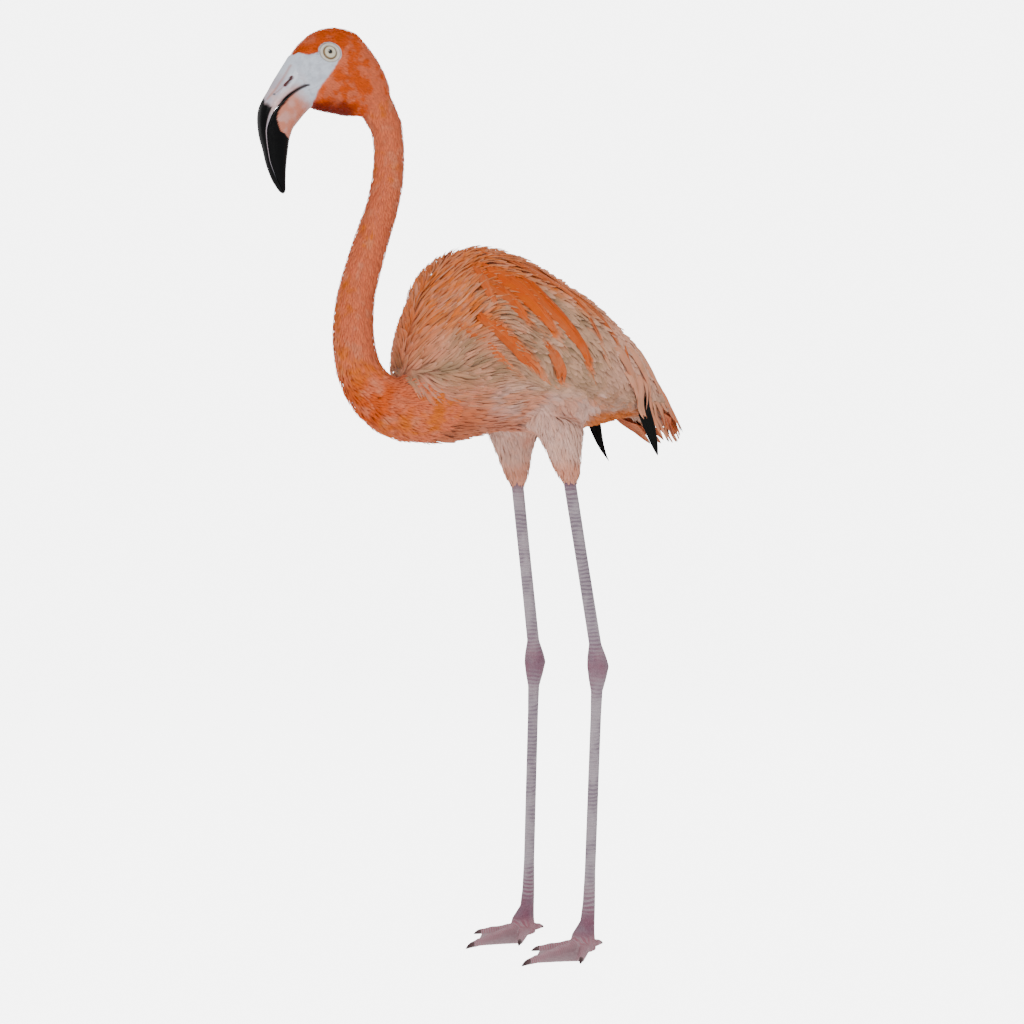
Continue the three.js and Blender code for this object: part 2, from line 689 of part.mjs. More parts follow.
const neckNames = ["neck_base", "neck_lower", "neck_middle", "neck_upper"];
const NECK_RINGS = [8, 6, 6, 6];
const neckGap = GAP / 2 / neckLine.length;
const headClearance = headGeometry(GAP);
neckNames.forEach((name, i) => {
  const from = NECK_CUTS[i] + (i > 0 ? neckGap : 0);
  const to = NECK_CUTS[i + 1] - (i < neckNames.length - 1 ? neckGap : 0);
  const whole = neckGeometry(from, to, NECK_RINGS[i]);
  const parted = cutAway(whole, ...(i === 0 ? [trunkClearance] : []), ...(i === 3 ? [headClearance] : []));
  addPart(name, parted, plumageSalmon);
});

const eyeSockets = SIDES.map(([, side]) => eyeGeometry(side, GAP));
addPart("head", cutAway(headGeometry(), ...eyeSockets), plumageOrange);
addPart("bill_upper", cutAway(billGeometry(true), headClearance), hornPink);
addPart("bill_lower", cutAway(billGeometry(false), headClearance), hornBlack);

const neckClearance = neckGeometry(0, NECK_BETWEEN_WINGS, 9, GAP);
const tailClearance = tailGeometry(GAP);

for (const [name, side] of SIDES) {
  addPart(`eye_${name}`, eyeGeometry(side), eyeCream);

  const thighClearance = limbGeometry(thighStations(GAP), side, THIGH_SIDES);
  const primariesClearance = bladeGeometry(PRIMARIES, side, GAP);
  const wingTools = [trunkClearance, neckClearance, tailClearance, primariesClearance, thighClearance];
  addPart(`wing_${name}`, wingGeometry(side, wingTools), plumagePale);
  const primaries = cutAway(bladeGeometry(PRIMARIES, side), trunkClearance, thighClearance);
  addPart(`primaries_${name}`, primaries, featherBlack);

  const thigh = cutAway(limbGeometry(thighStations(), side, THIGH_SIDES), trunkClearance);
  addPart(`thigh_${name}`, thigh, plumagePale);
  addPart(`tibia_${name}`, limbGeometry(tibiaStations(), side), legMauve);
  addPart(`hock_${name}`, limbGeometry(hockStations(), side), legPink);
  addPart(`tarsus_${name}`, limbGeometry(tarsusStations(), side), legMauve);

  addPart(`foot_${name}`, footGeometry(side), legPink);
  for (const [toeName, toe] of Object.entries(TOES)) {
    addPart(`claw_${name}_${toeName}`, clawGeometry(toe, side), clawGrey);
  }
}

// The group's origin is the middle of the bird's bounding box, on the floor.
const box = new THREE.Box3().setFromObject(bird);
const middle = box.getCenter(new THREE.Vector3());
for (const mesh of bird.children) mesh.position.set(-middle.x, -middle.y, 0);

export default bird;
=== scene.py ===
"""An American flamingo as a museum would show it: one skin with a coat of feather vanes over it.

Lengths are millimetres in the bird's own axes (it faces -Y, its left is +X, the floor is z = 0) until
to_frame() turns them into the frame's metres.
"""
import json
import math

import bmesh
import bpy
import numpy as np
from mathutils import Euler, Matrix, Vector
from mathutils.bvhtree import BVHTree


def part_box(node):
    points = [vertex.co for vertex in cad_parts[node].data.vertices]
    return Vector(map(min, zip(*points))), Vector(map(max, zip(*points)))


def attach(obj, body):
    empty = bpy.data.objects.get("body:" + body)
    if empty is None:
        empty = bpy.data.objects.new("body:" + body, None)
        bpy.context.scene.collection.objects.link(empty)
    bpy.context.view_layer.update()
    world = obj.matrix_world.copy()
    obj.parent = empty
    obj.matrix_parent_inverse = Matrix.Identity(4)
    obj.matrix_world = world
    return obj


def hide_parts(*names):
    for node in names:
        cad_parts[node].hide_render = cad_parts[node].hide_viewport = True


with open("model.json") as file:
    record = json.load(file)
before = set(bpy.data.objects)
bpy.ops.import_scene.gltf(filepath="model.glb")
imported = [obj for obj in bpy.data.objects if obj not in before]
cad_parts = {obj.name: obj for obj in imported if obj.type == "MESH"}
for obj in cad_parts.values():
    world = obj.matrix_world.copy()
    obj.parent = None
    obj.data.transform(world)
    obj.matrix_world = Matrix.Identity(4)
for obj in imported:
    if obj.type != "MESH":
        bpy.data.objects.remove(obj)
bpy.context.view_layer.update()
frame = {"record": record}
rng = np.random.default_rng(20)

# ------------------------------------------------------------------ the bird's own axes
MM = 0.001
SOLE_AHEAD = 14.0  # the first mount lies this far ahead of the bird's own origin
SHIFT = np.array([0.0, frame["record"]["mounts"][0]["pos_m"][1] / MM + SOLE_AHEAD, 0.0])
HEAD_YAW = math.radians(22)  # neck and head are turned this far to the bird's right
NECK_ROOT = np.array([0.0, -262.0, 0.0])
FORWARD = np.array([-math.sin(HEAD_YAW), -math.cos(HEAD_YAW), 0.0])
SIDE = np.array([math.cos(HEAD_YAW), -math.sin(HEAD_YAW), 0.0])
UP = np.array([0.0, 0.0, 1.0])
BESIDE = 140.0  # a plane this far out stands clear of either side of the bird

CAMERA_AT = np.array([1388.1, -1504.3, 548.0])
CAMERA_AZIMUTH = math.radians(44.3)
CAMERA_PITCH = math.radians(1.79)

EYE_U, EYE_Z, EYE_OUT, EYE_RADIUS = 127.0, 1185.5, 24.0, 10.0
PUPIL = 2.6  # radii on the eye, seen from its side
IRIS = 7.6
LID_EDGE = 8.8
LID_FOLD = 13.1
MOUTH_CORNER = [(152, 1142.6), (156, 1141.6), (160, 1139.8), (172, 1132), (181, 1123.6)]

# The bill's middle line in the neck plane: u, z, half its depth, half its width, and the mouth line's height
# in the section from -1 at the chin to 1 at the culmen.
BILL = [
    (147, 1160, 34.5, 23, -0.42),
    (164, 1141, 28.5, 21.5, -0.12),
    (176.5, 1122.5, 26, 20, 0.16),
    (187.5, 1103, 24.6, 18.5, 0.32),
    (190.5, 1083, 20.5, 16.5, 0.62),
    (189.5, 1064, 16.4, 14, 0.72),
    (188, 1044, 13, 11, 0.7),
    (184.5, 1025, 9, 7.5, 0.5),
    (178.5, 1007, 3.2, 3.2, 0.15),
]

# Deep orange plumes on the wings, as lines of (y, z) from root to tip, with half widths and strengths.
STREAKS = [
    (((-209, 931), (-205, 920), (-203, 900), (-194, 874)), 6.0, 0.8),
    (((-201, 907), (-182, 896), (-162, 875), (-148, 856)), 7.5, 1.0),
    (((-200, 931), (-176, 919), (-146, 896), (-123, 873), (-101, 847)), 11.0, 1.0),
    (((-171, 927), (-140, 914), (-108, 885), (-71, 856), (-42, 834), (-26, 808)), 9.0, 1.0),
    (((-243, 848), (-215, 834), (-188, 809), (-148, 786)), 6.5, 0.6),
    (((-224, 867), (-192, 844), (-154, 817), (-102, 790)), 8.0, 0.85),
    (((-121, 838), (-98, 816), (-63, 782)), 6.0, 0.65),
    (((-191, 960), (-158, 954), (-111, 932), (-44, 915), (-16, 870), (6, 826)), 4.0, 0.55),
    (((-185, 962), (-133, 956), (-64, 925), (0, 901), (37, 860), (64, 819)), 3.0, 0.35),
    (((60, 850), (73, 812), (109, 797)), 3.5, 0.5),
]

SKY_LIGHT, SKY_SEEN = 0.68, 6.0  # how strongly the sky and the floor shine on the bird and to the camera
FLOOR_LIGHT, FLOOR_SEEN = 0.4, 5.0

SIDES = (("left", 1), ("right", -1))
THIGH_AT = (48, -37)  # the middle of the left thigh's top, out and back, with its reach and height
THIGH_REACH = (36, 46)
THIGH_TOP = 742
NECK_SWELL = (860, 770)  # between these heights the coat of the neck grows thicker towards the body
COAT_EDGE = 768  # about this height the feathers of the trunk give way to the down of the flanks
HOCK, BARE_TOP = 392, 655  # heights of the hock and of the top of the bare leg
INSTEP_OUT, INSTEP_BACK = 61, 5  # where the toes of the left foot meet
RIGHT_FOOT_BACK = 6  # the right foot stands this much further back
TOE_TIPS = ((-4, 127), (45, 64), (-46, 64), (-1, -36))  # out and ahead of the instep
TOE_JOINTS = (28, 52, 78, 100)
SCUTE_PITCH = 5.6
TOE_SCUTE_PITCH = 3.4


def to_frame(points):
    return (np.asarray(points, float) + SHIFT) * MM


def to_bird(points):
    return np.asarray(points, float) / MM - SHIFT


def xyz(points):
    return points[..., 0], points[..., 1], points[..., 2]


def in_head(u, side, z):
    """A point given forward in the neck plane, out to the bird's left and up."""
    u, side, z = np.broadcast_arrays(np.asarray(u, float), side, z)
    return NECK_ROOT + u[..., None] * FORWARD + side[..., None] * SIDE + z[..., None] * UP


def head_place(points):
    """The same three numbers back from points."""
    away = np.asarray(points, float) - NECK_ROOT
    return away @ FORWARD, away @ SIDE, away[..., 2]


def from_eye(u, z):
    """How far points seen from the side lie from the middle of the lids."""
    return np.hypot(u - EYE_U, (z - EYE_Z) * 1.05)


def from_thigh(x, y):
    """How far points lie from the middle of the nearer thigh's top, where 1 is its edge."""
    return np.hypot((np.abs(x) - THIGH_AT[0]) / THIGH_REACH[0], (y - THIGH_AT[1]) / THIGH_REACH[1])


def sole_place(points):
    """How far out and how far ahead of its instep a point of a foot lies."""
    x, y, _ = xyz(points)
    return np.abs(x) - INSTEP_OUT, INSTEP_BACK + RIGHT_FOOT_BACK * (x < 0) - y


# ------------------------------------------------------------------ small maths
def step(low, high, value):
    """0 below low, 1 above high, smooth between; low may be the larger."""
    t = np.clip((np.asarray(value, float) - low) / (high - low), 0, 1)
    return t * t * (3 - 2 * t)


def bump(value, centre, reach):
    return np.exp(-(((np.asarray(value, float) - centre) / reach) ** 2))


def unit(v):
    return v / np.maximum(np.linalg.norm(v, axis=-1, keepdims=True), 1e-9)


def mix(a, b, t):
    t = np.asarray(t, float)[..., None]
    return a * (1 - t) + b * t


def over(colour, *layers):
    """A colour with others laid over it in turn, each given with how much of it there is."""
    for other, amount in layers:
        colour = mix(colour, other, amount)
    return colour


TURNS = [np.array(Euler(angles).to_matrix()) for angles in ((0.7, 0.4, 1.1), (1.9, 0.9, 0.3))]
HASH_PRIMES = (73856093, 19349663, 83492791)
HASH_FACTOR = 1274126177


def lattice_noise(p):
    """Smooth value noise from 0 to 1 over unit cells."""
    cell = np.floor(p).astype(np.int64)
    f = p - cell
    f = f * f * (3 - 2 * f)
    total = np.zeros(p.shape[:-1])
    for corner in np.ndindex(2, 2, 2):
        offset = np.array(corner[::-1])
        mixed = np.bitwise_xor.reduce((cell + offset) * HASH_PRIMES, axis=-1)
        mixed = (mixed ^ (mixed >> 13)) * HASH_FACTOR
        value = ((mixed ^ (mixed >> 16)) & 0xFFFF) / 65535.0
        total += value * np.prod(np.where(offset, f, 1 - f), axis=-1)
    return total


def noise(points, size, seed):
    """Smooth blobs from 0 to 1, about size across, with finer ones mixed in."""
    p = np.asarray(points, float) / size
    coarse = lattice_noise(p @ TURNS[0] + seed * 17.3)
    fine = lattice_noise(p @ TURNS[1] * 2.1 + seed * 5.9)
    return np.clip((0.68 * coarse + 0.32 * fine - 0.5) * 1.25 + 0.5, 0, 1)


def wander(points, size, seed, reach):
    """The same blobs about zero, from one end of the reach to the other."""
    return (noise(points, size, seed) - 0.5) * reach


def barred_noise(points, slope, squeeze, size, seed):
    """Blobs drawn out along the slope of the folded wing."""
    x, y, z = xyz(points)
    return noise(np.stack([x, y * slope + z * slope, (z - y) * squeeze], -1), size, seed)


def fine_noise(points):
    return barred_noise(points, 0.5, 1.2, 6, 23)


def hermite(a, b, slope_a, slope_b, t, width=1.0):
    """The smooth curve from a to b, with its slopes at both ends over a step of the given width."""
    return (
        (2 * t**3 - 3 * t**2 + 1) * a
        + (t**3 - 2 * t**2 + t) * width * slope_a
        + (3 * t**2 - 2 * t**3) * b
        + (t**3 - t**2) * width * slope_b
    )


def smooth_line(stations, count):
    """Rows of numbers through the stations, with a curve that doesn't overshoot, at count even steps."""
    rows = np.asarray(stations, float)
    reach = np.linalg.norm(np.diff(rows[:, :2], axis=0), axis=1)
    places = np.concatenate([[0], np.cumsum(reach)])
    rise = np.diff(rows, axis=0) / reach[:, None]
    slopes = np.vstack([rise[:1], rise[1:], rise[-1:]])
    before, after = rise[:-1], rise[1:]
    together = before + after
    safe = np.where(np.abs(together) < 1e-9, 1, together)
    slopes[1:-1] = np.where(before * after > 0, 2 * before * after / safe, 0)
    at = np.linspace(0, places[-1], count)
    cell = np.clip(np.searchsorted(places, at, side="right") - 1, 0, len(reach) - 1)
    t = ((at - places[cell]) / reach[cell])[:, None]
    return hermite(rows[cell], rows[cell + 1], slopes[cell], slopes[cell + 1], t, reach[cell][:, None])


def near_line(y, z, line):
    """How far points lie from a line of (y, z), and how far along it from 0 to 1."""
    corners = np.asarray(line, float)
    best = np.full(y.shape, 1e9)
    share = np.zeros(y.shape)
    for index, (a, b) in enumerate(zip(corners[:-1], corners[1:])):
        away = b - a
        t = np.clip(((y - a[0]) * away[0] + (z - a[1]) * away[1]) / (away @ away), 0, 1)
        gap = np.hypot(y - a[0] - t * away[0], z - a[1] - t * away[1])
        closer = gap < best
        best = np.where(closer, gap, best)
        share = np.where(closer, (index + t) / (len(corners) - 1), share)
    return best, share


# ------------------------------------------------------------------ colours
def paint(red, green, blue):
    """A colour seen as 0 to 255 on a screen, as the linear light that Blender mixes."""
    c = np.array([red, green, blue]) / 255.0
    return np.where(c <= 0.04045, c / 12.92, ((c + 0.055) / 1.055) ** 2.4)


DEEP_ORANGE = paint(210, 80, 0)
ORANGE = paint(212, 102, 16)
SALMON = paint(218, 109, 71)
PINK = paint(220, 144, 112)
ROSE = paint(226, 176, 154)
PALE = paint(208, 160, 130)
BEIGE = paint(160, 126, 96)
SHADE = paint(138, 112, 86)
DOWN = paint(214, 174, 160)
UNDERTAIL = paint(204, 100, 0)
THROAT = paint(112, 8, 0)
FACE = paint(202, 209, 221)
FACE_SHADE = paint(150, 158, 170)
FEATHER_BLACK = paint(2, 2, 2)
LID_CREAM = paint(214, 206, 190)
LID_BROWN = paint(84, 58, 34)
NOSE_PINK = paint(214, 182, 180)
# painted shade in gaps and creases: along the mouth line, in the corner of the mouth and at the core of the
# nostril
GAP_SHADE = paint(38, 18, 18)
BILL_GREY = paint(186, 178, 190)
BILL_PINK = paint(202, 122, 98)
BILL_BLACK = paint(4, 4, 5)
NOSTRIL = paint(96, 14, 8)
IRIS_CREAM = paint(226, 220, 196)
IRIS_BROWN = paint(116, 84, 40)
PUPIL_BLACK = paint(6, 6, 7)
CLAW = paint(88, 66, 68)
SHIN = paint(130, 114, 128)
SHIN_PALE = paint(166, 154, 162)
JOINT = paint(136, 74, 96)
TOE = paint(159, 91, 105)
WEB = paint(178, 149, 155)

# The rear edge of the bare face as heights and how far forward it lies, then its upper edge the other way.
FACE_REAR_Z = [1112, 1121, 1128, 1135, 1144, 1153, 1163, 1172, 1184, 1200]
FACE_REAR_U = [149, 147, 142.5, 141, 137, 130, 124, 118, 113, 113]
FACE_TOP_U = [112, 138, 147, 155, 165, 175, 190]
FACE_TOP_Z = [1186, 1186, 1182, 1180, 1183.5, 1180, 1172]


def face_bare(points):
    """1 on the bare face, from the forehead round the eye to the gape and chin."""
    u, _, z = head_place(points)
    ragged = wander(points, 3.4, 3, 1.8)
    behind = np.interp(z, FACE_REAR_Z, FACE_REAR_U) + ragged
    top = np.interp(u, FACE_TOP_U, FACE_TOP_Z) + ragged
    cheek = step(-0.9, 0.9, u - behind) * step(0.9, -0.9, z - top)
    orbit = step(1.06, 0.98, np.hypot((u - EYE_U) / 14.4, (z - EYE_Z) / 13.4))
    return np.maximum(cheek, orbit) * step(108, 112, u)


def head_marks(points):
    """Orange in blotches with a dark throat, and the bare face with its lids and painted shade in the corner
    of the mouth.
    """
    u, side, z = head_place(points)
    blotch = noise(points, 15, 5) * 0.6 + noise(points, 5, 6) * 0.4
    nape = step(95, 60, u) * 0.5
    cheek = bump(z, 1148, 16) * bump(u, 120, 26) * 0.45
    crown = step(1205, 1222, z) * 0.12
    colour = mix(DEEP_ORANGE, SALMON, step(0.52, 0.7, blotch + (nape + cheek) * 0.45 - crown))
    throat = step(1133, 1120, z + wander(points, 9, 8, 8)) * step(80, 98, u) * step(158, 140, u)
    r = from_eye(u, z)
    corner, _ = near_line(u, z, MOUTH_CORNER)
    face = over(
        FACE,
        (FACE_SHADE, step(0.35, 0.75, noise(points, 6, 9)) * 0.35),
        (NOSE_PINK, step(1160, 1140, z) * step(150, 165, u) * 0.5),
        (LID_CREAM, step(14.2, 12.4, r) * 0.85),
        (LID_BROWN, np.maximum(bump(r, LID_FOLD, 0.45) * 0.55, step(LID_EDGE + 0.5, LID_EDGE, r))),
        # painted shade in the crease at the corner of the mouth
        (GAP_SHADE, step(1.5, 0.7, corner) * step(6, 12, np.abs(side))),
    )
    return over(colour, (THROAT, throat * 0.9), (face, face_bare(points)))


def neck_marks(points):
    """Salmon with orange patches, and deep orange at the foot of the neck."""
    _, y, z = xyz(points)
    patch = noise(points * [1, 1, 0.6], 26, 11) * 0.65 + noise(points, 7, 12) * 0.35
    base = np.exp(-(((y + 330) / 26) ** 2) - ((z - 744) / 30) ** 2) * 1.8
    base = np.maximum(base, step(800, 730, z) * step(-290, -330, y) * 0.5)
    return over(
        SALMON,
        (ORANGE, step(0.5, 0.72, patch)),
        (PINK, step(0.62, 0.8, noise(points, 11, 13)) * 0.35),
        (DEEP_ORANGE, np.clip(base, 0, 1) * step(0.26, 0.48, noise(points, 13, 15)) * 0.95),
    )


def streak_marks(points):
    """How deeply orange the plumes of the wings are, from 0 to 1."""
    x, y, z = xyz(points)
    ragged = wander(points, 7, 27, 3.0)
    strength = np.zeros(y.shape)
    for line, half, depth in STREAKS:
        gap, share = near_line(y, z, line)
        width = half * (0.45 + 0.75 * np.sin(np.pi * np.clip(share * 0.85 + 0.12, 0, 1)))
        strength = np.maximum(strength, depth * step(width + 1.5, width - 1.5, gap + ragged))
    return strength * step(8, 20, np.abs(x))


def darker(colour, amount):
    return colour * (1 - amount)[..., None]


def body_marks(points):
    """The trunk's colours, from the general ones to those of a single place, with painted shade low on the
    body.
    """
    _, y, z = xyz(points)
    rough = noise(points, 22, 21)
    streak = barred_noise(points, 0.45, 1.1, 15, 22)
    fine = fine_noise(points)
    rear = step(-20, 60, y) * step(770, 800, z)
    colour = over(
        BEIGE,
        (PALE, step(0.3, 0.75, streak)),
        (SHADE, step(0.6, 0.85, fine) * 0.35),
        (mix(ROSE, PINK, fine * 0.6), rear * 0.8),
    )
    # painted shade low on the middle and rear of the body
    colour = darker(colour, 0.2 * (step(-45, 15, y) * step(815, 785, z)))
    back = step(868, 895, z + 0.28 * y) * (1 - 0.65 * step(-30, 70, y))
    back = np.maximum(back, step(-165, -200, y) * step(895, 920, z))
    shoulder = step(-168, -234, y + 0.35 * (z - 880)) * step(800, 850, z)
    low_front = step(-120, -190, y) * step(860, 815, z)
    chest = np.maximum(step(-288, -318, y), step(-252, -278, y) * step(780, 820, z) * 0.75)
    colour = over(
        colour,
        (mix(PINK, ORANGE, step(0.3, 0.56, fine)) * 1.05, back * 0.95),
        (mix(ORANGE, PINK, step(0.42, 0.66, fine)), shoulder * 0.95),
        (mix(ORANGE, DEEP_ORANGE, 0.7 * fine), streak_marks(points)),
        (mix(BEIGE, PINK * 0.94, step(0.25, 0.75, streak)), low_front * 0.8),
        (mix(SALMON, ORANGE, rough), chest * 0.85),
        (flank_marks(y, z, rough, streak, fine), step(786, 762, z + (rough - 0.5) * 26)),
    )
    # painted shade under the front of the belly
    colour = darker(colour, 0.22 * step(752, 712, z) * step(-40, -110, y))
    under = step(16, 60, y) * step(190, 150, y) * step(759, 751, z - 0.15 * (y - 56) + (rough - 0.5) * 6)
    return over(
        colour,
        (thigh_marks(points), thigh_share(points) * 0.75),
        # painted shade low at the rear, above the under-tail
        (SHADE, step(20, 60, y) * step(782, 768, z) * 0.45),
        (UNDERTAIL * 0.85, under * 0.95),
    )


def flank_marks(y, z, rough, streak, fine):
    """Pink and pale down, warmer below and towards the breast."""
    low = step(758, 715, z) * step(40, -120, y)
    warm = mix(mix(SALMON, ORANGE, rough * 0.6), PINK, 0.25 + 0.3 * step(0.5, 0.7, fine))
    warmth = low + step(-140, -230, y) * 0.6 + step(0.6, 0.8, fine) * 0.3
    colour = over(PINK, (DOWN, step(0.4, 0.62, streak)), (warm, np.clip(warmth, 0, 1)))
    return colour * (0.95 - 0.05 * step(-130, -200, y))[..., None]


def thigh_share(points):
    """How near points of the trunk are to the top of a thigh, from 0 to 1."""
    x, y, z = xyz(points)
    return step(1.45, 0.95, from_thigh(x, y)) * step(THIGH_TOP + 34, THIGH_TOP + 4, z)


def thigh_marks(points):
    tuft = noise(points, 9, 31)
    colour = mix(mix(ROSE, DOWN * 1.12, tuft), PINK, step(0.5, 0.8, noise(points, 15, 32)) * 0.35)
    return mix(colour, mix(SALMON, ORANGE, tuft), step(690, 665, points[..., 2]) * 0.55)


def leg_marks(points):
    """Grey shins, purple joints and pink toes, with the left leg a little darker above its hock."""
    x, _, z = xyz(points)
    colour = mix(SHIN, SHIN_PALE, step(0.35, 0.75, noise(points * [1, 1, 0.6], 14, 41)))
    colour = darker(colour, 0.12 * step(20, 40, x) * step(430, 520, z))
    joint = np.maximum(bump(z, HOCK, 34), step(110, 60, z))
    joint = np.maximum(joint, bump(z, BARE_TOP, 22) * 0.7)
    toes = np.clip(toe_ridge(*sole_place(points)) - noise(points, 16, 44) * 0.35, 0, 1)
    return over(
        colour,
        (mix(JOINT, SHIN, noise(points, 9, 42) * 0.6), joint * 0.8),
        (mix(WEB, TOE, toes), step(30, 12, z)),
    )


def toe_ridge(out, ahead):
    """1 along the toes and 0 in the middle of the webs."""
    nearest = np.full(out.shape, 1e9)
    for tip_out, tip_ahead in TOE_TIPS:
        t = np.clip((out * tip_out + ahead * tip_ahead) / (tip_out**2 + tip_ahead**2), 0, 1)
        nearest = np.minimum(nearest, np.hypot(out - t * tip_out, ahead - t * tip_ahead))
    return np.maximum(step(11, 4, nearest), step(30, 10, np.hypot(out, ahead)))


def scute_phase(points):
    """A number that grows by one from each broad scale to the next, down the legs and out along the toes."""
    z = points[..., 2]
    down = (z + wander(points, 16, 43, 5)) / SCUTE_PITCH
    along = np.hypot(*sole_place(points)) / TOE_SCUTE_PITCH
    on_foot = step(34, 22, z)
    return down * (1 - on_foot) + along * on_foot


def scute_strength(points):
    """Broad scales lie down the bare legs and along the toes, and give way to small ones elsewhere."""
    z = points[..., 2]
    out, ahead = sole_place(points)
    leg = step(650, 638, z) * step(42, 62, z) * (1 - bump(z, HOCK, 26))
    toes = step(24, 18, z) * toe_ridge(out, ahead) * step(14, 26, np.hypot(out, ahead))
    return np.maximum(leg, toes)


# ------------------------------------------------------------------ meshes
def read_rows(items, name, width, kind=np.float32):
    """One property of all the parts of a mesh, as rows of width numbers."""
    values = np.empty(len(items) * width, kind)
    items.foreach_get(name, values)
    return values.reshape(-1, width)


def read_points(mesh):
    return read_rows(mesh.vertices, "co", 3).astype(float)


def normals_of(mesh):
    return read_rows(mesh.vertex_normals, "vector", 3).astype(float)


def set_points(mesh, points):
    mesh.vertices.foreach_set("co", to_frame(points).astype(np.float32).ravel())
    mesh.update()


def set_value(mesh, name, values):
    layer = mesh.attributes.new(name, "FLOAT", "POINT")
    layer.data.foreach_set("value", np.asarray(values, np.float32))


def set_tint(mesh, colours):
    layer = mesh.attributes.new("tint", "FLOAT_COLOR", "POINT")
    rgba = np.ones((len(mesh.vertices), 4), np.float32)
    rgba[:, :3] = colours
    layer.data.foreach_set("color", rgba.ravel())


def set_uv(mesh, name, per_vertex):
    corners = read_rows(mesh.loops, "vertex_index", 1, np.int32)[:, 0]
    layer = mesh.uv_layers.new(name=name)
    layer.data.foreach_set("uv", np.asarray(per_vertex, np.float32)[corners].ravel())


def mesh_object(name, points, faces):
    """A smooth mesh; faces is a list of arrays, each of polygons with the same number of corners."""
    mesh = bpy.data.meshes.new(name)
    faces = [np.asarray(f, np.int32) for f in faces if len(f)]
    mesh.vertices.add(len(points))
    mesh.vertices.foreach_set("co", np.asarray(to_frame(points), np.float32).ravel())
    sizes = np.concatenate([np.full(len(f), f.shape[1], np.int32) for f in faces])
    mesh.loops.add(int(sizes.sum()))
    mesh.loops.foreach_set("vertex_index", np.concatenate([f.ravel() for f in faces]))
    mesh.polygons.add(len(sizes))
    mesh.polygons.foreach_set("loop_start", np.concatenate([[0], np.cumsum(sizes)[:-1]]).astype(np.int32))
    mesh.polygons.foreach_set("use_smooth", np.ones(len(sizes), bool))
    mesh.update(calc_edges=True)
    piece = bpy.data.objects.new(name, mesh)
    bpy.context.collection.objects.link(piece)
    return piece


def tube_faces(rows, columns):
    """Faces round a tube of rings, closed by fans to a tip and a root that follow the rings' points."""
    r, c = np.meshgrid(np.arange(rows - 1), np.arange(columns), indexing="ij")
    after = (c + 1) % columns
    here, above = r * columns, (r + 1) * columns
    sides = np.stack([here + c, here + after, above + after, above + c], -1).reshape(-1, 4)
    tip, root, last = rows * columns, rows * columns + 1, (rows - 1) * columns
    ring = np.arange(columns)
    after = (ring + 1) % columns
    tip_fan = np.stack([last + ring, last + after, np.full(columns, tip)], -1)
    root_fan = np.stack([after, ring, np.full(columns, root)], -1)
    return [sides, np.concatenate([tip_fan, root_fan])]


def select_only(pieces):
    """Selects the pieces, with the first one active."""
    bpy.ops.object.select_all(action="DESELECT")
    for piece in pieces:
        piece.select_set(True)
    bpy.context.view_layer.objects.active = pieces[0]


def apply_modifier(piece, kind, **settings):
    modifier = piece.modifiers.new(kind.lower(), kind)
    for key, value in settings.items():
        setattr(modifier, key, value)
    select_only([piece])
    bpy.ops.object.modifier_apply(modifier=modifier.name)


def edit_mesh(piece, change):
    """Runs change(bm) on the piece's mesh."""
    bm = bmesh.new()
    bm.from_mesh(piece.data)
    change(bm)
    bm.to_mesh(piece.data)
    bm.free()


def turn_out(bm):
    bmesh.ops.recalc_face_normals(bm, faces=bm.faces)


def dress(piece, material, slot, *nodes):
    """Gives a piece its material, hangs it under the root body and hides the CAD nodes it stands for; the
    slot is not used.
    """
    piece.data.materials.append(material)
    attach(piece, "root")
    if nodes:
        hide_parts(*nodes)
    return piece


